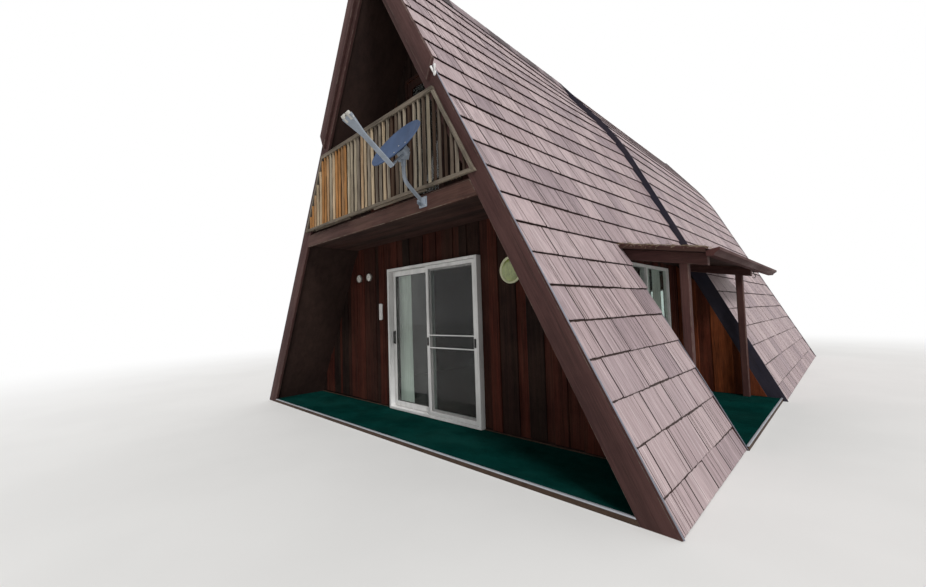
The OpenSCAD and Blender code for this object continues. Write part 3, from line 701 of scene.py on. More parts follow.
METAL = dict(
    rough=0.5, streaks=(1.3, 30.0), fibres=(1.6, 85.0), bump=0.0008, wear=0.3, bare="trim", dirt=0.2,
    fibre_mix=0.5, dark=0.66, checks=0.35, mirror=0.12)
ROUGH_WOOD = dict(rough=0.85, bump=0.003, dark=0.3, dirt=0.2, wear=0.25, mirror=0.15)
WOOD = dict(rough=0.7, dark=0.5, mirror=0.2)
PAINT = dict(
    rough=0.4, streaks=(2.0, 5.0), fibres=(60.0, 90.0), bump=0.0003, dark=0.86, wear=0.25, bare="soil",
    dirt=0.12, fibre_mix=0.15, runs=0.08, checks=0.0)
FINISHES = {
    "shake_metal": dict(METAL, tones=("shake_a", "shake_b", "shake_a", "shake_c", "shake_b")),
    # Painted shade: the grooves, the butt faces and the strip under each course's edge.
    "shake_groove": dict(METAL, tones=("groove",), wear=0.0),
    # Painted highlight: the glint lines on the panels' ribs.
    "shake_score": dict(METAL, tones=("score", "shake_a"), wear=0.0, rough=0.4),
    "underlay": dict(tones=("underlay",), rough=0.95, dark=0.5, mirror=0.1),
    "ridge_metal": dict(METAL, tones=("ridge", "shake_c")),
    "trim_metal": dict(PAINT, tones=("trim",), rough=0.35, metal=0.35),
    # Painted shade: the rake trims' darker copy of the trim metal.
    "rake_metal": dict(PAINT, tones=("rake_trim",), rough=0.5),
    "wall_wood": dict(
        ROUGH_WOOD, tones=("board_brown", "board_red", "board_black", "board_brown", "board_red"),
        runs=0.08, bare="board_black", wear=0.5, streaks=(0.9, 22.0)),
    "warm_wood": dict(
        ROUGH_WOOD, tones=("board_orange", "board_red", "board_orange"), bare="board_orange"),
    "wall_back": dict(ROUGH_WOOD, tones=("board_black", "board_brown")),
    "barge_wood": dict(
        WOOD, tones=("barge",), dark=0.6, streaks=(0.9, 14.0), wear=0.4, bare="grey_wood", dirt=0.15),
    "lining_wood": dict(WOOD, tones=("lining",), dark=0.62, along="z", bump=0.001, dirt=0.15),
    "soffit_wood": dict(WOOD, tones=("lining", "fascia"), along="x", boards=0.14, dirt=0.2),
    # Painted shade: the step board's dark navy colour.
    "step_wood": dict(WOOD, tones=("step",), dark=0.75, wear=0.1, bare="grey_wood"),
    "fascia_wood": dict(
        WOOD, tones=("fascia",), streaks=(0.9, 16.0), wear=0.8, dirt=0.35, bare="grey_wood"),
    "grey_wood": dict(ROUGH_WOOD, tones=("grey_wood", "brown_wood", "grey_wood"), dirt=0.3),
    "picket_wood": dict(
        ROUGH_WOOD, tones=("dark_wood", "brown_wood", "grey_wood", "pale_wood", "tan_wood"), dark=0.35,
        streaks=(1.0, 50.0), bare="tan_wood"),
    "post_wood": dict(
        WOOD, tones=("post", "barge"), dark=0.6, streaks=(1.0, 18.0), wear=0.3, bare="grey_wood"),
    "gutter_paint": dict(
        PAINT, tones=("gutter",), rough=0.5, dirt=0.2, runs=0.15, bare="trim", mirror=0.05),
    "turf": dict(
        tones=("turf",), rough=0.95, streaks=(2.0, 3.0), fibres=(420.0, 420.0), bump=0.006, dark=0.4,
        dirt=0.06, fibre_mix=0.5, mirror=0.0, checks=0.0),
    "white_paint": dict(PAINT, tones=("frame_white",)),
    "cloth": dict(
        tones=("cloth",), rough=0.9, streaks=(1.0, 9.0), fibres=(90.0, 300.0), bump=0.0006, dark=0.82,
        dirt=0.05, weave=420.0, fibre_mix=0.2, mirror=0.1, checks=0.0),
    "floor_wood": dict(
        WOOD, tones=("floor_wood", "brown_wood", "floor_wood"), along="y", boards=0.13, dark=0.6),
    "door_wood": dict(
        WOOD, tones=("board_brown",), dark=0.6, streaks=(1.0, 20.0), wear=0.3, bare="board_orange"),
    "dish_paint": dict(PAINT, tones=("dish",), rough=0.55, bare="trim", mirror=0.03, wear=0.1),
    "tube_metal": dict(PAINT, tones=("tube",), rough=0.45, metal=0.2, dirt=0.2, mirror=0.1),
    "black_plastic": dict(PAINT, tones=("black",), rough=0.35, dark=0.7, bare="grey_wood", wear=0.4),
    "frame_plastic": dict(PAINT, tones=("ring",), rough=0.5),
    "dial_face": dict(PAINT, tones=("dial",), rough=0.3),
    "dial_ring": dict(PAINT, tones=("ring",), rough=0.3, metal=0.6),
    "plate_glaze": dict(
        PAINT, tones=("plate", "plate_rim"), rough=0.2, streaks=(9.0, 14.0), dark=0.4, gloss=0.6,
        fibre_mix=0.1),
    "plate_rim": dict(PAINT, tones=("plate_rim",), rough=0.35),
    "needle_litter": dict(
        tones=("needle", "pale_wood", "brown_wood", "pale_wood"), rough=0.9, mirror=0.1, checks=0.0),
    "screen_cloth": dict(
        tones=("black",), rough=0.6, metal=0.2, dark=0.8, weave=600.0, alpha=(0.75, 0.25)),
}

# The finishes of a roof cover, and the places of each among them: the metal, the painted shade of grooves,
# butts and laps, the underlay, and the painted glint lines.
SHAKES = ("shake_metal", "shake_groove", "underlay", "shake_score")
METAL_FACE, SHADE_FACE, SHEET_FACE, GLINT_FACE = range(4)


def finish(key):
    """The named finish, made when it is first asked for; the CAD's own materials keep their names."""
    name = f"cabin_{key}"
    if name in bpy.data.materials:
        return bpy.data.materials[name]
    return clear_glass(name) if key == "clear_glass" else coat(name, **FINISHES[key])


def dress(node, key):
    """Gives a CAD node that stays a finish of its own."""
    for slot in frame["nodes"][node].material_slots:
        slot.material = finish(key)


def ribs(rng, width):
    """A panel's cross-section as (across, dip) points, and the finish of each stretch between them."""
    edge, fall, stray = 0.003, 0.005, 0.006
    deep_share, glint_share = 0.2, 0.18
    across = [(0.0, -fall), (edge, 0.0)]
    looks = [SHEET_FACE]
    count = max(2, round(width / sizes().rib))
    for k in range(1, count):
        g = width * k / count + rng.uniform(-stray, stray)
        kind = rng.random()
        half, deep, look = 0.003, 0.0012, METAL_FACE
        # Deep grooves take the painted shade finish.
        if kind < deep_share:
            half, deep, look = 0.0035, 0.004, SHADE_FACE
        # Some ribs take the light finish, a painted glint.
        elif kind > 1 - glint_share:
            look = GLINT_FACE
        across += [(g - half, rng.uniform(-0.0003, 0.0003)), (g, -deep), (g + half, 0.0)]
        looks += [METAL_FACE, look, look]
    across += [(width - edge, 0.0), (width, -fall)]
    looks += [METAL_FACE, SHEET_FACE]
    return across, looks


def panel(piece, spot, flip, width, s0, s1, butt):
    """One pressed shake panel: a ribbed wedge with an uneven lower edge, and a strip of painted shadow under
    the next one.

    spot turns (across, up the slope, out) into a point.
    """
    rng = piece.rng
    uneven, lap, lip, thin, least = 0.004, 0.008, 0.006, 0.0022, 0.0006
    low = s0 + (rng.uniform(-uneven, uneven) if s0 > 0.01 else 0.0)
    high = s1 + lap
    across, looks = ribs(rng, width)
    seed = rng.uniform(0, 90)
    ragged = [uneven * noise.noise(Vector((seed, a * 22, 0.0))) for a, _ in across]
    points = []
    # Painted shadow: from here up to the lap, the faces under the next course's edge take the dark shade
    # finish.
    litter = s1 - rng.uniform(0.006, 0.016)
    rows = ((low, -0.005, 1), (low + lip, 0.0, 1), (litter, 0.0, 1.5), (high, 0.0, 0))
    for s, fall, rag in rows:
        body = butt + (thin - butt) * (s - low) / (high - low) + fall
        for (a, dip), r in zip(across, ragged):
            points.append(spot(a, max(s + r * rag, 0.0), max(body + dip, least)))
    n, tone = len(across), rng.random()
    foot_line = low + 0.009

    def wall(grid, columns, key):
        faces = sheet_faces(columns - 1, len(grid) // columns - 1)
        piece.add(grid, [face[::-1] for face in faces] if flip else faces, tone, 0.0, "slope", key)

    # The faces from the shadow strip's start to the top are painted shadow under the next course.
    wall(points, n, looks * 2 + [SHADE_FACE] * len(looks))
    # The butt face takes the painted shade finish.
    wall([spot(a, foot_line, 0.0) for a, _ in across] + points[:n], n, SHADE_FACE)
    for edge, a in ((0, 0.0), (n - 1, width)):
        foot = [spot(a, s, 0.0) for s in (foot_line, foot_line, litter, high)]
        side = [points[r * n + edge] for r in range(len(rows))]
        wall(side + foot if edge == 0 else foot + side, len(rows), SHEET_FACE)


def lay_panels(piece, line, side, cells, first=None, lift=None):
    """Courses of panels up a roof line, the lowest ones thinner.

    cells gives each course's stretches along the building as (start, end, lower edge); lift gives how
    far the panels stand above the line.
    """
    size, rng = sizes(), piece.rng
    least_run, least_rise, least_panel, first_panel, full_butt = 0.1, 0.05, 0.08, 0.12, 1.8
    total, _, at = follow(line)
    s0, s1 = 0.0, size.first_course if first is None else first
    while s0 < total - 0.01:
        for y0, y1, low in cells(s0, s1):
            if y1 - y0 < least_run or s1 - low < least_rise:
                continue
            edges = [y0, y0 + rng.uniform(first_panel, size.panel_max)]
            while y1 - edges[-1] > size.panel_max:
                edges.append(edges[-1] + rng.uniform(size.panel_min, size.panel_max))
            if y1 - edges[-1] > least_panel:
                edges.append(y1)
            edges[-1] = y1
            butt = size.butt * (0.5 + 0.5 * min(s0 / full_butt, 1.0))
            for a, b in zip(edges, edges[1:]):
                def spot(u, s, h, a=a):
                    y = a + size.joint / 2 + u
                    x, z = at(s, h + (lift(y, s) if lift and h > 0 else 0.0))
                    return (side * x, y, z)

                high = min(butt * rng.uniform(0.9, 1.03), COVER - 0.0012)
                panel(piece, spot, side < 0, b - a - size.joint, low, s1, high)
        s0, s1 = s1, min(s1 + size.course, total)


def sheet_faces(columns, rows):
    """The faces of a grid of that many squares, whose points go row by row."""
    n = columns + 1
    return [(j * n + i, j * n + i + 1, (j + 1) * n + i + 1, (j + 1) * n + i)
            for j in range(rows) for i in range(columns)]


def step_depth(s):
    """How far the rear section stands above the front slope, square to it, at a distance up the slope."""
    x, z = follow(front_line())[2](s, 0.0)
    low, high = 0.0, 0.7
    for _ in range(24):
        middle = (low + high) / 2
        if z + middle * math.cos(SLOPE) < back_z(x + middle * math.sin(SLOPE)):
            low = middle
        else:
            high = middle
    return low


def bowed():
    """Returns how far the front slopes' panels rise over the flat slope, by (y, distance up it)."""
    size, pitch, marks, curve = sizes(), 0.1, 72, 1.4
    rise = [max(step_depth(k * pitch) - size.step_edge, 0.0) for k in range(marks)]

    def lift(y, s):
        t = min(max((y - STEP) / size.bow + 1, 0.0), 1.0)
        k = min(int(s / pitch), marks - 2)
        return (rise[k] + (rise[k + 1] - rise[k]) * (s / pitch - k)) * t ** curve

    return lift


def along_roof(line, side, y, way, s0, s1):
    """The marks up a stretch of a roof line, and the place of (distance from y, height, mark)."""
    total, marks, at = follow(line)
    s1 = total if s1 is None else s1
    stations = [s0, *[m for m in marks if s0 + 0.01 < m < s1 - 0.01], s1]

    def place(a, b, t):
        x, z = at(t, b)
        return (side * x, y + a * way, z)

    return stations, place


def underlay(piece, line, side, y0, y1, s0=0.0, s1=None):
    """The dark sheet under the shakes, which closes the cover's edges."""
    sheet = boxed(y0, y1, 0.0, 0.0015, 0.0003)
    stations, place = along_roof(line, side, 0.0, 1, s0, s1)
    piece.solid(sheet, stations, place, 0.5, 0.0, "slope", SHEET_FACE)


def rake_trim(piece, line, side, y, way, s0=0.0, s1=None):
    """A folded metal edge along a rake over a brown strip; way is +1 where the roof lies towards +Y."""
    top, fold, lip, metal, strip = COVER - 0.0006, 0.008, 0.009, 0.002, 0.004
    edge = [
        (0.0, top - lip, 0), (metal, top - lip, 0), (metal, top - metal, 0), (fold, top - metal, 0),
        (fold, top, 0), (0.0, top, 1)]
    stations, place = along_roof(line, side, y, way, s0, s1)
    piece.solid(edge, stations, place, 0.5, 0.0, "slope")
    piece.solid(boxed(0.0, strip, 0.0, top - lip - 0.0005, 0.001), stations, place, 0.5, 0.0, "slope", 1)


def clad(piece, span, bottom, top, spot, thick=CLADDING, finish=0, widths=None, ragged=0.0):
    """Rough upright boards across a span, each second one lapping its neighbours.

    bottom and top give the ends of the boards by their place across; spot turns (across, up, out)
    into a point; ragged is how far the feet end above the bottom at most.
    """
    rng, size = piece.rng, sizes()
    low, high = widths or (size.board_min, size.board_max)
    least_span, least_board, lap, gap, edge, sway, warp = 0.02, 0.06, 0.012, 0.004, 0.006, 0.005, 0.002
    u, number = span[0], rng.randrange(2)
    while u < span[1] - least_span:
        end = u + rng.uniform(low, high)
        if span[1] - end < least_board:
            end = span[1]
        lapping = number % 2
        out = thick - rng.uniform(0, 0.003) if lapping else thick * rng.uniform(0.25, 0.4)
        wider = lap if lapping else -gap
        a0, a1 = max(u - wider, span[0]), min(end + wider, span[1])
        seed = rng.uniform(0, 50)
        foot = rng.uniform(0.3, 1.0) * ragged

        def place(a, b, t, seed=seed, middle=(a0 + a1) / 2, foot=foot):
            waver = sway * noise.noise(Vector((seed, t * 3.3, 1.0 if a > middle else 5.0)))
            a = min(max(a + waver, span[0]), span[1])
            v = bottom(a) + foot + max(top(a) - bottom(a) - foot, 0.0) * t
            if b > 0.001:
                b += warp * noise.noise(Vector((seed, t * 5, 9.0)))
            return spot(a, v, b)

        piece.solid(boxed(a0, a1, 0.0, out, edge), steps(12), place, None, 0.0015, "z", finish)
        u = end
        number += 1


def level_at(value):
    """A board end that is level."""
    return lambda a: value


class CABIN_OT_roof(bpy.types.Operator):
    """Lay the pressed metal shakes on both roof sections, with their rake trims"""
    bl_idname = "cabin.roof"
    bl_label = "Roof covers"

    def execute(self, context):
        front, back = front_line(COVER), back_line(COVER)
        cut = CUT_Z / math.sin(SLOPE)
        lift = bowed()

        def cut_cells(s0, s1):
            """The right-hand front slope ends at the porch below the cut."""
            if s1 < cut:
                return [(FRONT, PORCH, s0)]
            return [(FRONT, PORCH, s0), (PORCH, STEP, cut)] if s0 < cut else [(FRONT, STEP, s0)]

        def front_cells(s0, s1):
            return [(FRONT, STEP, s0)]

        def back_cells(s0, s1):
            return [(BACK_START, BACK_END, s0)]

        whole = ((FRONT, STEP, 0.0, None),)
        round_cut = ((FRONT, PORCH, 0.0, cut), (FRONT, STEP, cut, None))
        behind = ((BACK_START, BACK_END, 0.0, None),)
        for name, side, line, cells, rise, sheets, node in (
                ("right_front_shakes", 1, front, cut_cells, lift, round_cut, "right_cover_front"),
                ("left_front_shakes", -1, front, front_cells, lift, whole, "left_cover_front"),
                ("right_back_shakes", 1, back, back_cells, None, behind, "right_cover_back"),
                ("left_back_shakes", -1, back, back_cells, None, behind, "left_cover_back")):
            piece = Piece(name)
            lay_panels(piece, line, side, cells, None, rise)
            for sheet in sheets:
                underlay(piece, line, side, *sheet)
            piece.make("cabin", SHAKES, (node,), turn=False)
        trims = Piece("rake_trims")
        for side in (1, -1):
            rake_trim(trims, front, side, FRONT, 1)
            rake_trim(trims, back, side, BACK_END, -1)
            rake_trim(trims, back, side, BACK_START, 1)
        rake_trim(trims, front, 1, PORCH, -1, 0.0, cut)
        trims.make("cabin", ("rake_metal", "barge_wood"))
        return {"FINISHED"}


class CABIN_OT_ridge(bpy.types.Operator):
    """Lap the bent caps along the ridge of the front section"""
    bl_idname = "cabin.ridge"
    bl_label = "Ridge caps"

    def execute(self, context):
        piece = Piece("ridge_caps")
        lie = math.cos(SLOPE)
        cap, pitch, leg, bend, metal, edge = 0.34, 0.29, 0.105, 0.04, 0.004, 0.003
        under = [(-leg, 0.0, 0), (-bend, 0.0, 0), (0.0, 0.0, 0), (bend, 0.0, 0), (leg, 0.0, 1)]
        over = [(leg, edge, 0), (bend, metal, 0), (0.0, metal, 0), (-bend, metal, 0), (-leg, edge, 1)]
        y = FRONT
        while y < STEP - 0.05:
            end = min(y + cap, STEP)

            def place(a, b, t, y=y, end=end):
                lift = 0.001 + metal * (1 - t) + b
                return (a, y + (end - y) * t, front_z(a) + lift / lie * 0.5)

            piece.solid(under + over, steps(3), place, None, 0.0006, "y")
            y += pitch
        piece.make("cabin", ("ridge_metal",), ("ridge_cap",))
        return {"FINISHED"}


class CABIN_OT_boards(bpy.types.Operator):
    """Fit the bargeboards, the step board and the lining of the roof"""
    bl_idname = "cabin.boards"
    bl_label = "Bargeboards and lining"

    def execute(self, context):
        refined("front_bargeboards", "cabin", ("barge_wood",), "front_rake_boards", 0.005, "slope")
        refined("upper_bargeboards", "cabin", ("barge_wood",), "upper_rake_boards", 0.006, "slope")
        refined("rear_bargeboards", "cabin", ("barge_wood",), "rear_rake_boards", 0.005, "slope")
        board = refined("step_board", "cabin", ("step_wood",), "roof_step_board", 0.002, "slope")
        shown_from = STEP + 0.012
        for vert in board.data.vertices:
            vert.co.y = max(vert.co.y, shown_from)
        for node in ("left_roof_front", "right_roof_front", "left_roof_back", "right_roof_back"):
            dress(node, "lining_wood")
        for node in ("ground_floor", "loft_floor"):
            dress(node, "floor_wood")
        dress("balcony_floor", "soffit_wood")
        dress("shed_roof", "soffit_wood")
        return {"FINISHED"}


class CABIN_OT_walls(bpy.types.Operator):
    """Clad the front, the rear and the side porch with rough upright boards"""
    bl_idname = "cabin.walls"
    bl_label = "Wall boards"

    def execute(self, context):
        self.front_lower()
        self.front_upper()
        self.side_porch()
        self.rear()
        return {"FINISHED"}

    @staticmethod
    def front(u, v, w):
        """A place on the front wall: across, up, and out from behind the boards."""
        return (u, WALL + CLADDING - w, v)

    def back_up(self, piece, outline):
        """The plain wall behind the front boards."""
        piece.slab(outline, self.front, CLADDING - WALL_THICK, 0.0, finish=1)

    def front_lower(self):
        piece = Piece("front_wall_boards")
        x0, x1, head = DOOR_LOW.x, DOOR_HIGH.x, DOOR_HIGH.z
        end, corner = front_x(FLOOR, LINING), front_x(LOFT, LINING)

        def under_loft(a):
            return min(LOFT, front_z(a, LINING))

        for side, near in ((-1, x0), (1, x1)):
            span = (min(near, side * end), max(near, side * end))
            clad(piece, span, level_at(FLOOR), under_loft, self.front, ragged=0.035)
            self.back_up(piece, [(near, FLOOR), (side * end, FLOOR), (side * corner, LOFT), (near, LOFT)])
        clad(piece, (x0, x1), level_at(head), level_at(LOFT), self.front)
        self.back_up(piece, [(x0, head), (x1, head), (x1, LOFT), (x0, LOFT)])
        walls = ("front_wall_left", "front_wall_right", "front_wall_over_door")
        piece.make("cabin", ("wall_wood", "wall_back"), walls)

    def front_upper(self):
        piece = Piece("gable_boards")
        low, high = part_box("balcony_door")
        edge = front_x(LOFT, LINING)

        def roof(a):
            return front_z(a, LINING)

        clad(piece, (-edge, low.x), level_at(LOFT), roof, self.front)
        clad(piece, (high.x, edge), level_at(LOFT), roof, self.front)
        clad(piece, (low.x, high.x), level_at(high.z), roof, self.front)
        for s in (-1, 1):
            x = s * high.x
            self.back_up(piece, [(s * edge, LOFT), (x, LOFT), (x, roof(x))])
        self.back_up(piece, [
            (low.x, high.z), (high.x, high.z), (high.x, roof(high.x)), (0, roof(0)), (low.x, roof(low.x))])
        piece.make("cabin", ("wall_wood", "wall_back"), ("front_wall_upper",))

    def side_porch(self):
        """The recessed wall round its window, and the walls at the porch's near and far ends."""
        piece = Piece("side_porch_boards")
        window, sill, head = (PORCH + 0.39, PORCH + 2.33), 0.9, 2.06
        thick, near_thick, corner, deep, wide = 0.016, 0.009, SIDE_WALL + 0.02, 0.2, (0.2, 0.32)

        def side(u, v, w):
            return (SIDE_WALL + w, u, v)

        def near(u, v, w):
            return (u, PORCH + w, v)

        def far(u, v, w):
            return (u, STEP - w, v)

        def near_top(a):
            return min(CUT_Z, front_z(a, LINING))

        def far_top(a):
            return max(FLOOR, min(CUT_Z, back_z(a, deep)))

        for span, low, high in (
                ((PORCH, window[0]), FLOOR, CUT_Z), (window, FLOOR, sill), (window, head, CUT_Z),
                ((window[1], STEP), FLOOR, CUT_Z)):
            clad(piece, span, level_at(low), level_at(high), side, thick)
        clad(piece, (corner, front_x(FLOOR, LINING)), level_at(FLOOR), near_top, near, near_thick)
        clad(piece, (corner, back_line(deep)[0][0] - 0.02), level_at(FLOOR), far_top, far, thick, 1, wide)
        piece.make("cabin", ("wall_wood", "warm_wood"))
        dress("side_porch_walls", "wall_back")

    def rear(self):
        """The rear wall round its lower and its upper window."""
        piece = Piece("rear_wall_boards")
        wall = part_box("rear_wall")[1].y
        edge = back_line(LINING)[0][0] - 0.03
        thick, lower, upper = 0.02, 0.6, 0.45
        low_sill, low_head, high_sill, high_head = 0.9, 2.0, 3.3, 4.2

        def out(u, v, w):
            return (u, wall + w, v)

        def roof(a):
            return max(FLOOR, back_z(a, LINING))

        for s in (-1, 1):
            clad(piece, tuple(sorted((s * lower, s * edge))), level_at(FLOOR), roof, out, thick)
            clad(piece, tuple(sorted((s * upper, s * lower))), level_at(low_head), roof, out, thick)
        clad(piece, (-lower, lower), level_at(FLOOR), level_at(low_sill), out, thick)
        clad(piece, (-upper, upper), level_at(low_head), level_at(high_sill), out, thick)
        clad(piece, (-upper, upper), level_at(high_head), roof, out, thick)
        piece.make("cabin", ("wall_wood",))
        dress("rear_wall", "wall_back")


class CABIN_OT_balcony(bpy.types.Operator):
    """Build the fascia, the rails and the weathered half-log pickets of the balcony"""
    bl_idname = "cabin.balcony"
    bl_label = "Balcony"

    def execute(self, context):
        refined("balcony_beam", "cabin", ("fascia_wood",), "balcony_fascia", 0.006, "x")
        refined("balcony_door", "cabin", ("door_wood",), "loft_door_frame", 0.003, "z")
        low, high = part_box("balcony_railing")
        self.rails(low, high)
        self.pickets(low, high)
        return {"FINISHED"}

    def rails(self, low, high):
        """The top and bottom rails, the sloped end rails, and two battens below the bottom rail."""
        piece = Piece("balcony_rails")
        top_rail, bottom_rail, end_depth = 0.052, 0.04, 0.11
        foot, rise = low.z + 0.01, high.z - low.z - 0.055
        batten_y, batten_z = low.y + 0.012, low.z - 0.02

        def level(a, b, t):
            return ((2 * t - 1) * front_x(b, end_depth), a, b)

        for z0, z1, deep in ((high.z - top_rail, high.z, 0.0), (low.z, low.z + bottom_rail, 0.004)):
            piece.solid(boxed(low.y + deep, high.y, z0, z1, 0.005), steps(16), level, None, 0.003, "x")
        for side in (1, -1):
            def slanted(a, b, t, side=side):
                return (side * front_x(foot + rise * t, a), b, foot + rise * t)

            section = boxed(end_depth + 0.002, end_depth + 0.038, low.y + 0.004, high.y - 0.002, 0.004)
            piece.solid(section, steps(8), slanted, 0.0, 0.002, "slope")
        for x0, x1 in ((0.12, 1.07), (-1.4, -0.45)):
            piece.bar((x0, batten_y, batten_z), (x1, batten_y, batten_z), boxed(-0.01, 0.01, -0.012, 0.012),
                      None, "x", 0, 6, 0.004)
        piece.make("cabin", ("grey_wood",), ("balcony_railing",))

    def pickets(self, low, high):
        """Half-log pickets between the rails, darkened towards the right as painted shade, tan on the left.
        """
        size = sizes()
        piece = Piece("balcony_pickets")
        rng = piece.rng
        stray, deep, foot, shortest = 0.006, 0.026, low.z + 0.012, 0.12
        count = int(front_x(low.z, 0.15) / size.picket_step)
        for i in range(-count, count + 1):
            x = i * size.picket_step + rng.uniform(-stray, stray)
            top = min(high.z - 0.02, front_z(abs(x) + size.picket, 0.13))
            if top < low.z + shortest:
                continue
            half = size.picket * rng.uniform(0.8, 1.15)
            lean = rng.uniform(-stray, stray)
            # Painted shade: the tone falls towards the right and darkens those pickets; a random share varies
            # each one.
            tone_with_painted_shade = 0.62 - 0.26 * x + rng.uniform(-0.28, 0.28)

            def place(a, b, t, x=x, top=top, lean=lean):
                return (x + lean * t + a, high.y - 0.004 - b, foot + (top - foot) * t)

            piece.solid(half_log(half, deep), steps(9), place, min(max(tone_with_painted_shade, 0.02), 0.98), 0.004)
        piece.make("cabin", ("picket_wood",), ("balcony_railing",), smooth=60)


class CABIN_OT_porch(bpy.types.Operator):
    """Lay the turf of both porches with its metal edges"""
    bl_idname = "cabin.porch"
    bl_label = "Porch turf"

    def execute(self, context):
        piece = Piece("porch_turf_mat")
        low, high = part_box("porch_turf")
        rim_z, middle_z, unevenness, fineness = low.z + 0.002, high.z - 0.0035, 0.003, 14

        def sheet(x0, x1, y0, y1, columns, rows):
            points = []
            for j in range(rows + 1):
                y = y0 + (y1 - y0) * j / rows
                for i in range(columns + 1):
                    x = x0 + (x1 - x0) * i / columns
                    rim = i in (0, columns) or j in (0, rows)
                    lump = unevenness * noise.noise(Vector((x * fineness, y * fineness, 0)))
                    points.append((x, y, rim_z if rim else middle_z + lump))
            piece.add(points, sheet_faces(columns, rows), 0.5, 0.0, "x")

        foot = front_x(0.045, LINING)
        sheet(-foot, foot, low.y, WALL + 0.01, 230, 36)
        sheet(SIDE_WALL, high.x, PORCH, STEP, 52, 106)
        piece.make("cabin", ("turf",), ("porch_turf",), turn=False, smooth=180)
        refined("porch_edge_trims", "cabin", ("trim_metal",), "porch_metal_edges", 0.0015, "x")
        return {"FINISHED"}


class CABIN_OT_door(bpy.types.Operator):
    """Finish the patio door, its sliding leaf, handle and insect screen"""
    bl_idname = "cabin.door"
    bl_label = "Patio door"

    def execute(self, context):
        refined("door_frame", "cabin", ("white_paint",), "patio_door_frame", 0.002)
        refined("sliding_panel", "glass_leaf", ("white_paint",), "sliding_leaf_frame", 0.003)
        refined("slider_handle", "glass_leaf", ("black_plastic",), "leaf_handle", 0.003)
        refined("screen_frame", "insect_screen", ("white_paint",), "screen_rails", 0.003)
        dress("sliding_glass", "clear_glass")
        dress("window_glass", "clear_glass")
        self.netting()
        self.pulls()
        self.beads()
        return {"FINISHED"}

    def netting(self):
        """The screen's mesh, which bellies a little."""
        piece = Piece("screen_netting")
        low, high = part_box("screen_mesh")
        wide, y, tall = high.x - low.x, (low.y + high.y) / 2, high.z - low.z
        columns, rows, belly = 24, 48, 0.0016
        points = []
        for v in steps(rows):
            for u in steps(columns):
                out = belly * math.sin(math.pi * u) * math.sin(math.pi * v)
                points.append((low.x + wide * u, y + out, low.z + tall * v))
        piece.add(points, sheet_faces(columns, rows), 0.5, 0.0, "x")
        piece.make("insect_screen", ("screen_cloth",), ("screen_mesh",), turn=False, smooth=180)

    def pulls(self):
        """A plate and a finger bar on each stile of the screen."""
        piece = Piece("screen_pulls")
        low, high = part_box("screen_frame")
        z, inset = 1.06, 0.022
        for x in (low.x + inset, high.x - inset):
            def plate(a, b, t, x=x):
                return (x + a, low.y + 0.001 - 0.007 * t, z + b)

            def bar(a, b, t, x=x):
                return (x + a + 0.004, low.y - 0.005 - 0.008 * t, z + b)

            piece.solid(boxed(-0.014, 0.014, -0.055, 0.055, 0.006), steps(2), plate, 0.5)
            piece.solid(boxed(-0.004, 0.004, -0.04, 0.04, 0.002), steps(2), bar, 0.3)
        piece.make("insect_screen", ("black_plastic",))

    def beads(self):
        """Glazing beads round both faces of the sliding pane."""
        piece = Piece("leaf_glazing_bead")
        low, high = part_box("sliding_glass")
        bead = 0.004
        corners = [(low.x, low.z), (high.x, low.z), (high.x, high.z), (low.x, high.z)]
        for (x0, z0), (x1, z1) in zip(corners, corners[1:] + corners[:1]):
            for y in (low.y - bead, high.y + bead):
                section = boxed(-bead, bead, -0.006, 0.006, 0.0015)
                piece.bar((x0, y, z0), (x1, y, z1), section, 0.5, up=(0, 1, 0))
        piece.make("glass_leaf", ("black_plastic",))


class CABIN_OT_windows(bpy.types.Operator):
    """Finish the side and rear windows and hang the gathered curtains"""
    bl_idname = "cabin.windows"
    bl_label = "Windows and curtains"

    def hang(self, name, u0, u1, depth, z0, z1, spot, folds, node, rail):
        """One bunched curtain from u0 to u1, with shallower folds and a narrower width at its head.
        """
        rng = random.Random(name)
        columns, rows, shallow, narrow = folds * 12, 40, 0.75, 0.93
        phases = [rng.uniform(-0.5, 0.5) for _ in range(folds + 1)]
        points = []
        for v in steps(rows):
            deep = sizes().fold * (shallow + (1 - shallow) * v)
            spread = (u1 - u0) * (narrow + (1 - narrow) * v)
            for t in steps(columns):
                k = min(int(t * folds), folds - 1)
                lag = phases[k] + (phases[k + 1] - phases[k]) * (t * folds - k)
                sway = 0.5 * noise.noise(Vector((t * 3, v * 2.5, folds)))
                swing = deep * math.sin(math.tau * folds * t + lag + sway)
                points.append(spot((u0 + u1) / 2 + spread * (t - 0.5), z1 + (z0 - z1) * v, depth + swing))
        piece = Piece(name)
        piece.add(points, sheet_faces(columns, rows), 0.5, 0.0, "z")
        obj = piece.make("cabin", ("cloth",), (node,), turn=False, smooth=180)

    def execute(self, context):
        refined("window_frames", "cabin", ("white_paint",), "window_frame_set", 0.004)
        refined("curtain_rails", "cabin", ("white_paint",), "curtain_rail_pair", 0.004)
        low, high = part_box("door_curtain")
        self.hang("door_drape", low.x, high.x, (low.y + high.y) / 2, low.z, high.z,
                  lambda u, v, w: (u, w, v), 7, "door_curtain", "curtain_rail_pair")
        low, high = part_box("side_curtains")
        width, second = 0.4, 0.99
        for name, start in (("near", low.y), ("middle", low.y + second), ("far", high.y - width)):
            self.hang(f"side_drape_{name}", start, start + width, (low.x + high.x) / 2, low.z, high.z,
                      lambda u, v, w: (w, u, v), 7, "side_curtains", "curtain_rail_pair")
        return {"FINISHED"}


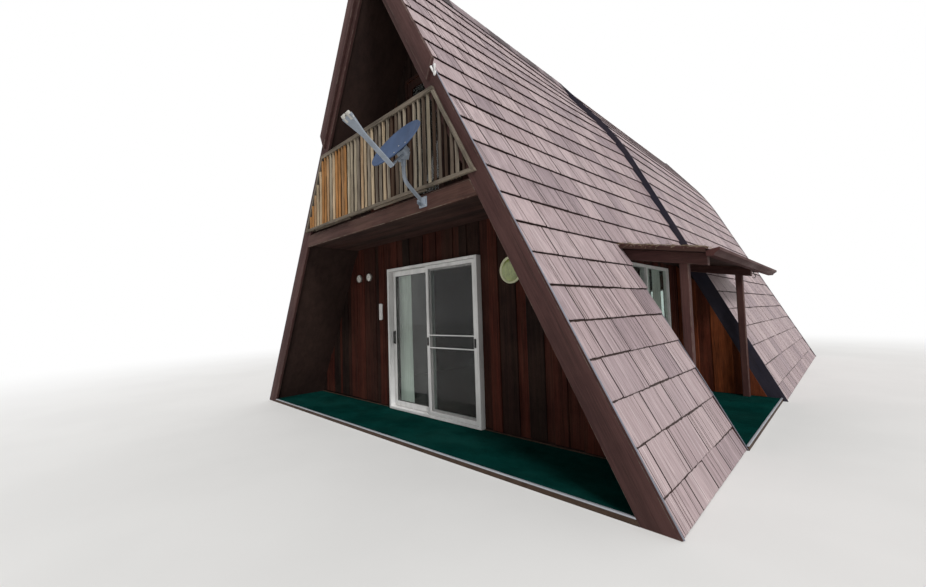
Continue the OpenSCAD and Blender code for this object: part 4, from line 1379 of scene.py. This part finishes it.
class CABIN_OT_lean_to(bpy.types.Operator):
    """Build the lean-to over the side porch: shakes, beams, posts, gutter, hook and fallen needles"""
    bl_idname = "cabin.lean_to"
    bl_label = "Lean-to"

    def execute(self, context):
        self.cover()
        self.timbers()
        self.drain()
        self.hook()
        self.litter()
        return {"FINISHED"}

    @staticmethod
    def top(x):
        """How high the lean-to's cover lies at a place across it."""
        low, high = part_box("shed_cover")
        return low.z + COVER + (high.x - x) * LEAN_SLOPE

    def line(self, x_end):
        """The cover's underside from the eave to a place nearer the roof."""
        lie = math.cos(math.atan(LEAN_SLOPE))
        return [(x, self.top(x) - COVER / lie) for x in (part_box("shed_cover")[1].x, x_end)]

    def cover(self):
        low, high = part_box("shed_cover")
        course = sizes().course
        piece = Piece("lean_to_shakes")
        roof_end = front_x(self.top(2.17)) + 0.004
        for y0, y1, x_end in ((low.y, STEP, roof_end), (STEP, high.y, 2.42)):
            line = self.line(x_end)
            lay_panels(piece, line, 1, lambda s0, s1: [(y0, y1, s0)], course)
            underlay(piece, line, 1, y0, y1)
        piece.make("cabin", SHAKES, ("shed_cover",), turn=False)
        trim = Piece("lean_to_trims")
        line = self.line(2.2)
        rake_trim(trim, line, 1, low.y, 1)
        rake_trim(trim, line, 1, high.y, -1, 0.0, 0.68)
        trim.make("cabin", ("post_wood", "post_wood"))

    def timbers(self):
        """A beam on a post at each end, as the CAD has them."""
        low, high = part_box("shed_frame")
        beam, deck, timber = 0.13, 0.0303, 0.09
        under = COVER + deck + beam
        near_post, far_post = 2.805, 2.88
        piece = Piece("lean_to_timbers")

        def beam_place(a, b, t):
            x = low.x + (high.x - low.x) * t
            return (x, a, self.top(x) - under + b)

        def post_place(a, b, t):
            return (a, b, FLOOR + (self.top(a) - under - FLOOR) * t)

        for y, x in ((low.y, near_post), (high.y - timber, far_post)):
            section = boxed(y + 0.0005, y + timber - 0.0005, 0.0, beam, 0.006)
            piece.solid(section, steps(8), beam_place, None, 0.0012, "x")
            section = boxed(x, x + timber, y, y + timber, 0.007)
            piece.solid(section, steps(14), post_place, None, 0.0012, "z")
        piece.make("cabin", ("post_wood",), ("shed_frame",))

    def drain(self):
        """The folded gutter with its end caps and brackets."""
        low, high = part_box("gutter")
        w, h, metal = high.x - low.x, high.z - low.z, 0.003
        brackets, first, pitch = 6, 0.35, 0.72
        outer = [
            (0, h - 0.022), (0, 0), (w * 0.55, 0), (w * 0.66, h * 0.3), (w * 0.86, h * 0.52),
            (w, h * 0.62), (w, h), (w - 0.012, h), (w - 0.012, h - 0.006)]
        inner = [
            (w - 0.009, h - 0.004), (w - metal, h - 0.004), (w - metal, h * 0.64), (w * 0.85, h * 0.56),
            (w * 0.63, h * 0.33), (w * 0.53, metal), (metal, metal), (metal, h - 0.022)]
        piece = Piece("lean_to_gutter")

        def place(a, b, t):
            return (low.x + a, low.y + 0.001 + (high.y - low.y - 0.002) * t, low.z + b)

        piece.solid([(a, b, 0) for a, b in outer + inner], steps(6), place, 0.5, 0.0008, "y")
        cap = [(low.x + a, low.z + b) for a, b in outer[:7]]
        for y in (low.y, high.y - metal):
            piece.slab(cap, lambda u, v, d: (u, y + d, v), 0.0, metal, 0.3, "x")
        for k in range(brackets):
            y = low.y + first + k * pitch
            piece.bar((low.x + 0.002, y, low.z + h - 0.02), (high.x - 0.003, y, high.z - 0.004),
                      boxed(-0.01, 0.01, -0.0015, 0.0015, 0.0005), 0.8, "x")
        piece.make("cabin", ("gutter_paint",), ("gutter",))

    def hook(self):
        """A bent rod that hangs below the lean-to's deck, near its far beam."""
        piece = Piece("lean_to_hook")
        x, y = 3.06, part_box("gutter")[1].y - 1.35
        z = self.top(x) - 2 * COVER - 0.005
        curl = [
            (0, 0.006), (0, -0.06), (0.006, -0.085), (0.02, -0.105), (0.024, -0.125), (0.012, -0.143),
            (-0.006, -0.146), (-0.016, -0.13)]
        piece.tube([(x + a, y, z + b) for a, b in curl], 0.005, count=8)
        piece.make("cabin", ("black_plastic",), smooth=60)

    def litter(self):
        """Fallen needles on the lean-to's near edge, its eave and its head, and on the balcony's ledge."""
        low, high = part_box("shed_cover")
        piece = Piece("needle_fringe")
        rng = piece.rng
        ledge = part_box("balcony_beam")[1].z + 0.052
        head, eave, thin = 2.2, 3.1, 0.0012
        on_edge, on_eave, on_head = 0.45, 0.7, 0.85

        def lie(p, way, size, droop):
            """One needle from a point, sagging towards its tip."""
            p, way = Vector(p), Vector(way).normalized()
            path = [p + way * size * t - Vector((0, 0, droop * size * t * t)) for t in (0, 0.35, 0.7, 1.0)]
            side = way.cross(Vector((0, 0, 1)))
            side = side.normalized() * thin if side.length > 0.01 else Vector((thin, 0, 0))
            rise = Vector((0, 0, thin))
            points = [q + o for q in path for o in (side, rise - side * 0.5, -rise - side * 0.5)]
            faces = [(k * 3 + i, k * 3 + (i + 1) % 3, k * 3 + 3 + (i + 1) % 3, k * 3 + 3 + i)
                     for k in range(3) for i in range(3)]
            piece.add(points, faces, None, 0.0, "x")

        for _ in range(sizes().needles):
            where = rng.random()
            turn = rng.uniform(0, math.tau)
            wx, wy, wz = math.cos(turn), math.sin(turn), rng.uniform(-0.15, 0.3)
            if where < on_edge:
                x = rng.uniform(head, high.x - 0.02)
                y = low.y + abs(rng.gauss(0, 0.03)) + 0.004
                spot, way = (x, y, self.top(x) + 0.002), (wx, -abs(wy) * 0.25, wz)
                lie(spot, way, rng.uniform(0.03, 0.085), 0.25)
            elif where < on_eave:
                y = rng.uniform(low.y + 0.05, high.y - 0.05)
                x = min(high.x - abs(rng.gauss(0, 0.05)), eave)
                spot, way = (x, y, self.top(x) + 0.002), (abs(wx), wy, wz * 0.3)
                lie(spot, way, rng.uniform(0.03, 0.075), 0.3)
            elif where < on_head:
                y = rng.uniform(low.y, high.y)
                spot = (head + rng.uniform(0, 0.1), y, self.top(head) + 0.004)
                lie(spot, (wx, wy, wz), rng.uniform(0.03, 0.07), 0.1)
            else:
                x = rng.uniform(-1.6, 1.6)
                spot = (x, FRONT - rng.uniform(0.001, 0.03), ledge)
                lie(spot, (wx, wy * 0.2, 0), rng.uniform(0.03, 0.06), 0.1)
        piece.make("cabin", ("needle_litter",), smooth=180)


class CABIN_OT_dish(bpy.types.Operator):
    """Finish the satellite dish, its boom and its mast"""
    bl_idname = "cabin.dish"
    bl_label = "Satellite dish"

    def execute(self, context):
        tilt, skew = math.radians(35), math.radians(70)
        self.centre = Vector((1.166, FRONT - 0.42, 3.0))
        self.axis = Vector((0, -math.cos(tilt), math.sin(tilt)))
        self.up = Vector((0, math.sin(tilt), math.cos(tilt)))
        self.edge = Vector((math.cos(skew), 0, 0)) - self.up * math.sin(skew)
        self.side = self.edge.cross(self.axis)
        self.hub = self.centre - self.axis * 0.064
        self.bowl()
        piece = Piece("dish_arm_and_mast")
        self.mast(piece)
        self.boom(piece)
        piece.make("cabin", ("tube_metal", "frame_plastic"), ("dish_mount",), smooth=40)
        self.bolts()
        return {"FINISHED"}

    @staticmethod
    def depth(r):
        """How far the reflector's face stands out at a distance from its middle."""
        focus = 0.34
        return r * r / (4 * focus)

    def spot(self, x, y, h):
        """A place on the reflector: across, up its face, and out along its axis."""
        return self.centre + Vector((x, 0, 0)) + self.up * y + self.axis * h

    def bowl(self):
        radii, thick = (0.002, 0.05, 0.1, 0.15, 0.2, 0.25, 0.285), 0.004
        rim = self.depth(DISH_R)
        front = [(r, self.depth(r)) for r in radii]
        edge = [
            (0.292, rim - 0.002), (0.298, rim), (0.2998, rim - 0.003), (0.2995, rim - 0.009),
            (0.294, rim - 0.010)]
        back = [(r, self.depth(r) - thick) for r in reversed(radii)]
        piece = Piece("dish_bowl")
        piece.lathe(front + edge + back, self.spot, 72)
        piece.make("cabin", ("dish_paint",), ("dish_reflector",), smooth=50)

    def bolts(self):
        """Four bolts through the foot plate and four round the middle of the reflector."""
        piece = Piece("dish_bolts")
        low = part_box("dish_mount")[0]
        head = [(0.0005, 0.0), (0.007, 0.0), (0.007, 0.004), (0.004, 0.006), (0.0005, 0.006)]
        for x in (low.x + 0.018, low.x + 0.102):
            for z in (low.z + 0.018, low.z + 0.092):
                piece.lathe(head, lambda a, b, h: (x + a, FRONT - 0.006 - h, z + b), 6)
        reach, seat = 0.05, self.depth(0.07)
        head = [(0.0005, 0.0), (0.007, 0.0), (0.006, 0.004), (0.0005, 0.005)]
        for x, y in ((reach, reach), (-reach, reach), (reach, -reach), (-reach, -reach)):
            piece.lathe(head, lambda a, b, h: self.spot(x + a, y + b, seat + h), 10)
        piece.make("cabin", ("dial_ring",))

    def mast(self, piece):
        """The foot plate with its two cheeks, the bent mast, its collar, and the clamp behind the dish."""
        plate = [
            (0.93, 2.545), (0.935, 2.54), (1.045, 2.54), (1.05, 2.545), (1.05, 2.645), (1.045, 2.65),
            (0.935, 2.65), (0.93, 2.645)]
        cheek = [
            (-0.02, 2.56), (-0.055, 2.575), (-0.055, 2.615), (-0.02, 2.63), (-0.005, 2.63),
            (-0.005, 2.56)]
        piece.slab(plate, lambda u, v, w: (u, FRONT - w, v), 0.0, 0.006)
        for x in (0.957, 1.023):
            piece.slab(cheek, lambda u, v, w: (x + w, FRONT + u, v), -0.002, 0.002)
        foot, elbow = Vector((0.99, FRONT - 0.012, 2.598)), Vector((1.1, FRONT - 0.33, 2.73))
        path = [foot.lerp(elbow, t) for t in (0, 0.3, 0.6, 0.8)]
        for t in (0.3, 0.6, 1.0):
            path.append(elbow + (foot - elbow) * (0.2 * (1 - t) ** 2) + Vector((0, 0, 0.1 * t * t)))
        path += [elbow + Vector((0, 0, h)) for h in (0.18, 0.26)]
        piece.tube(path, 0.0195, count=20)
        collar = [elbow + Vector((0, 0, h)) for h in (0.14, 0.145, 0.235, 0.24)]
        piece.tube(collar, (0.022, 0.026, 0.026, 0.022), 0.2)
        head, cheek_bar = elbow + Vector((0, 0, 0.19)), boxed(-0.03, 0.03, -0.0025, 0.0025, 0.001)
        for s in (-0.028, 0.028):
            piece.bar(head + self.side * s, self.hub + self.side * s * 1.2, cheek_bar, 0.7)
        back, front = self.hub - self.axis * 0.012, self.hub + self.axis * 0.05
        piece.bar(back, front, boxed(-0.05, 0.05, -0.05, 0.05, 0.008), 0.4, up=self.edge)

    def boom(self, piece):
        """The arm round the reflector's rim, the widening boom, and the twin receiver at its end."""
        hub, axis, edge, side = self.hub, self.axis, self.edge, self.side
        knuckle = hub + edge * (DISH_R + 0.024) + axis * 0.08
        arm = [hub + edge * 0.03, hub.lerp(knuckle, 0.5), knuckle - axis * 0.01]
        piece.tube(arm, 0.012, 0.3, count=12)
        marks = (
            (-0.02, 0.022, 0.009), (0.31, 0.022, 0.009), (0.36, 0.026, 0.011), (0.44, 0.038, 0.016),
            (0.5, 0.048, 0.019), (0.52, 0.049, 0.0195))

        def widening(a, b, mark):
            out, half, thick = mark
            return knuckle + axis * out + side * a * half + edge * b * thick

        piece.solid(boxed(-1, 1, -1, 1, 0.12), marks, widening, 0.5)
        horn = [
            (0.001, 0.48), (0.0215, 0.48), (0.0215, 0.538), (0.0195, 0.545), (0.016, 0.545),
            (0.014, 0.53), (0.001, 0.528)]
        for s in (-0.026, 0.026):
            middle = knuckle + side * s
            piece.lathe(horn, lambda a, b, h: middle + side * a + edge * b + axis * h, 24, 0.9, 1)


class CABIN_OT_fittings(bpy.types.Operator):
    """Fit the two dials, the round plate, the bare plaque and the small lamp on the rake board"""
    bl_idname = "cabin.fittings"
    bl_label = "Wall fittings"

    def execute(self, context):
        low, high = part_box("wall_dials")
        radius, z = (high.z - low.z) / 2, (low.z + high.z) / 2
        for name, x, step in (("near_dial", high.x - radius, 20), ("far_dial", low.x + radius, 10)):
            self.dial(name, self.on_wall(x, z), WALL + WALL_SEAT - low.y, radius, step)
        self.plate()
        self.plaque()
        self.lamp()
        return {"FINISHED"}

    @staticmethod
    def on_wall(x, z):
        """Returns the place of (across, up, out) from a spot on the front wall."""
        return lambda a, b, h: (x + a, WALL + WALL_SEAT - h, z + b)

    def plate(self):
        low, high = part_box("round_plate")
        r = (high.x - low.x) / 2
        out = self.on_wall((low.x + high.x) / 2, (low.z + high.z) / 2)
        bowl = [
            (0.001, 0.0), (r - 0.02, 0.0), (r - 0.004, 0.010), (r, 0.026), (r - 0.003, 0.037),
            (r - 0.012, 0.04), (r - 0.022, 0.034), (r - 0.03, 0.028), (0.001, 0.030)]
        glaze = [
            (0.001, 0.029), (r - 0.026, 0.029), (r - 0.03, 0.032), (r * 0.5, 0.036), (0.001, 0.037)]
        piece = Piece("round_wall_plate")
        piece.lathe(bowl, out, 64, 0.5)
        piece.lathe(glaze, out, 64, 0.0, 1)
        piece.make("cabin", ("plate_rim", "plate_glaze"), ("round_plate",), smooth=50)

    def plaque(self):
        """A bare board on the left of the door, with its nail."""
        piece = Piece("bare_plaque")
        x, half, low, high, nail_z, face = -1.12, 0.04, 1.36, 1.61, 1.595, WALL - 0.012
        piece.solid(boxed(-half, half, low, high, 0.006), steps(1),
                    lambda a, b, t: (x + a, face + 0.03 * t, b), 0.7, 0.0005)
        piece.lathe([(0.0005, 0), (0.004, 0), (0.004, 0.005), (0.0005, 0.006)],
                    lambda a, b, h: (x + a, face - h, nail_z + b), 10, 0.0)
        piece.make("cabin", ("white_paint",))

    def dial(self, name, out, depth, radius, step):
        """A round case with a face, marks, a pointer, a pin and numbers that go up by the step."""
        start, sweep, marks, numbers, long_every = math.radians(225), math.radians(270), 31, 7, 5
        on_face, mark_r, number_r, pointer = depth - 0.0042, radius - 0.014, radius - 0.030, math.radians(120)
        case = [
            (0.001, 0.0), (radius - 0.004, 0.0), (radius, 0.006), (radius, depth - 0.006),
            (radius - 0.003, depth), (radius - 0.008, depth), (radius - 0.011, depth - 0.005),
            (0.001, depth - 0.005)]
        face = [
            (0.001, depth - 0.006), (radius - 0.011, depth - 0.006), (radius - 0.011, depth - 0.0045),
            (0.001, depth - 0.0045)]
        pin = [
            (0.0003, depth - 0.004), (0.005, depth - 0.004), (0.004, depth - 0.001),
            (0.0003, depth - 0.001)]
        piece = Piece(name)

        def ray(turn, r0, r1, h, section):
            """A flat bar on the face, from one distance from the middle to another."""
            c, s = math.cos(turn), math.sin(turn)
            piece.bar(out(r0 * c, r0 * s, h), out(r1 * c, r1 * s, h), section, 0.5, "z", 2, up=(0, 1, 0))

        piece.lathe(case, out, 48, 0.5)
        piece.lathe(face, out, 48, 0.5, 1)
        for k in range(marks):
            long = 0.008 if k % long_every == 0 else 0.004
            ray(start - sweep * k / (marks - 1), mark_r - long, mark_r, on_face,
                boxed(-0.0006, 0.0006, -0.0003, 0.0003, 0.0001))
        ray(pointer, -0.01, 0.04, depth - 0.003, boxed(-0.0012, 0.0012, -0.0004, 0.0004, 0.0002))
        piece.lathe(pin, out, 16, 0.5, 2)
        looks = ("dial_ring", "dial_face", "black_plastic")
        rim = piece.make("cabin", looks, ("wall_dials",), smooth=50)
        for k in range(numbers):
            turn = start - sweep * k / (numbers - 1)
            text = bpy.data.curves.new(f"{name}_number_{k}", "FONT")
            text.body = str(k * step)
            text.size = 0.011
            text.align_x, text.align_y = "CENTER", "CENTER"
            text.extrude = 0.0002
            text.materials.append(finish("black_plastic"))
            number = bpy.data.objects.new(text.name, text)
            bpy.context.scene.collection.objects.link(number)
            number.location = out(number_r * math.cos(turn), number_r * math.sin(turn), on_face)
            number.rotation_euler = (math.pi / 2, 0, 0)
            number.parent = rim

    def lamp(self):
        """Two small spotlights on an oval base."""
        piece = Piece("rake_lamp")
        x, y, z, tall = 1.268, FRONT - 0.041, 3.845, 1.6
        base = [(0.001, 0.0), (0.018, 0.0), (0.018, 0.006), (0.013, 0.012), (0.001, 0.012)]
        head = [
            (0.001, 0.0), (0.006, 0.0), (0.006, 0.02), (0.010, 0.03), (0.012, 0.075), (0.010, 0.078),
            (0.001, 0.073)]
        piece.lathe(base, lambda a, b, h: (x + a, y - h, z + b * tall), 24)
        for s in (-1, 1):
            way = Vector((s * 0.3, -0.2, 0.93)).normalized()
            side = way.orthogonal().normalized()
            other = way.cross(side)
            root = Vector((x + s * 0.006, y - 0.010, z))
            piece.lathe(head, lambda a, b, h: root + side * a + other * b + way * h, 20)
        piece.make("cabin", ("white_paint",), smooth=50)


class CABIN_OT_stage(bpy.types.Operator):
    """Set up the camera, the pale floor and the soft studio light"""
    bl_idname = "cabin.stage"
    bl_label = "Camera, floor and light"

    def execute(self, context):
        setup = context.scene.cabin_stage
        camera = bpy.data.objects.new("camera", bpy.data.cameras.new("camera"))
        context.scene.collection.objects.link(camera)
        cy, sy = math.cos(setup.yaw), math.sin(setup.yaw)
        ahead = Vector((sy * math.cos(setup.pitch), cy * math.cos(setup.pitch), math.sin(setup.pitch)))
        right = Vector((cy, -sy, 0))
        up = right.cross(ahead)
        side = right * math.cos(setup.roll) + up * math.sin(setup.roll)
        top = up * math.cos(setup.roll) - right * math.sin(setup.roll)
        turned = Matrix((side, top, -ahead)).transposed().to_4x4()
        camera.matrix_world = Matrix.Translation(setup.camera) @ turned
        sensor = 36
        camera.data.sensor_width = sensor
        camera.data.sensor_fit = "HORIZONTAL"
        camera.data.lens = setup.focal * sensor
        context.scene.camera = camera
        self.floor(context)
        self.light(context, setup)
        context.scene.view_settings.view_transform = "Standard"
        return {"FINISHED"}

    def floor(self, context):
        """A pale round floor that fades into the white backdrop."""
        count, reach, fade_from, fade_to = 64, 60.0, 7.0, 17.0
        points = [(0, 0, 0)]
        for i in range(count):
            turn = math.tau * i / count
            points.append((reach * math.cos(turn), reach * math.sin(turn), 0))
        mesh = bpy.data.meshes.new("studio_floor")
        mesh.from_pydata(points, [], [(0, i + 1, (i + 1) % count + 1) for i in range(count)])
        material = bpy.data.materials.new("studio_floor")
        material.use_nodes = True
        tree = material.node_tree
        tree.nodes.clear()
        place = put(tree, "TexCoord", [], out="Object")
        away = put(tree, "VectorMath", [place], out="Value", operation="LENGTH")
        fade = between(tree, away, fade_from, fade_to)
        cloud = put(tree, "TexNoise", {"Vector": place, "Scale": 0.7, "Detail": 3.0})
        paint = tuple(context.scene.cabin_colours.stage)
        tint = mix(tree, between(tree, cloud, 0.35, 0.65), paint, tuple(c * 0.97 for c in paint))
        matt = put(tree, "BsdfPrincipled", {"Base Color": tint, "Roughness": 0.85})
        seen = put(tree, "LightPath", [], out="Is Camera Ray")
        white = put(tree, "Emission", {"Color": (1, 1, 1, 1), "Strength": seen})
        faded = maths(tree, "MULTIPLY", fade, seen)
        put(tree, "OutputMaterial", [put(tree, "MixShader", [faded, matt, white])])
        mesh.materials.append(material)
        floor = bpy.data.objects.new("studio_floor", mesh)
        context.scene.collection.objects.link(floor)

    def light(self, context, setup):
        """A white world, dimmer where it lights than where it is seen or mirrored, and one soft key light."""
        world = bpy.data.worlds.new("studio")
        context.scene.world = world
        world.use_nodes = True
        tree = world.node_tree
        tree.nodes.clear()
        path = tree.nodes.new("ShaderNodeLightPath").outputs
        seen = maths(tree, "MAXIMUM", path["Is Camera Ray"], path["Is Transmission Ray"])
        seen = maths(tree, "MAXIMUM", seen, path["Is Glossy Ray"])
        power = put(tree, "MapRange", [seen, 0.0, 1.0, setup.fill, 1.0])
        glow = put(tree, "Background", {"Color": (1, 1, 1, 1), "Strength": power})
        put(tree, "OutputWorld", [glow])
        key = bpy.data.objects.new("key_light", bpy.data.lights.new("key_light", "SUN"))
        key.data.energy = setup.sun
        key.data.angle = math.radians(16)
        key.rotation_euler = Vector((0.80, -0.42, 0.78)).to_track_quat("Z", "Y").to_euler()
        context.scene.collection.objects.link(key)


OPERATORS = (
    CABIN_OT_roof, CABIN_OT_ridge, CABIN_OT_boards, CABIN_OT_walls, CABIN_OT_balcony, CABIN_OT_porch,
    CABIN_OT_door, CABIN_OT_windows, CABIN_OT_lean_to, CABIN_OT_dish, CABIN_OT_fittings, CABIN_OT_stage)


class CABIN_PT_sidebar(bpy.types.Panel):
    """Sizes, colours and building steps of the cabin"""
    bl_idname = "CABIN_PT_sidebar"
    bl_label = "A-frame cabin"
    bl_space_type = "VIEW_3D"
    bl_region_type = "UI"
    bl_category = "Cabin"

    def draw(self, context):
        for settings in (context.scene.cabin_sizes, context.scene.cabin_colours, context.scene.cabin_stage):
            column = self.layout.column()
            for key in settings.__annotations__:
                column.prop(settings, key)
        for operator in OPERATORS:
            self.layout.operator(operator.bl_idname)


CLASSES = (CabinSizes, CabinColours, CabinStage, *OPERATORS, CABIN_PT_sidebar)


def register():
    for cls in CLASSES:
        bpy.utils.register_class(cls)
    bpy.types.Scene.cabin_sizes = PointerProperty(type=CabinSizes)
    bpy.types.Scene.cabin_colours = PointerProperty(type=CabinColours)
    bpy.types.Scene.cabin_stage = PointerProperty(type=CabinStage)


def unregister():
    del bpy.types.Scene.cabin_stage
    del bpy.types.Scene.cabin_colours
    del bpy.types.Scene.cabin_sizes
    for cls in reversed(CLASSES):
        bpy.utils.unregister_class(cls)


def main():
    register()
    for operator in OPERATORS:
        family, call = operator.bl_idname.split(".")
        getattr(getattr(bpy.ops, family), call)()


if __name__ == "__main__":
    main()
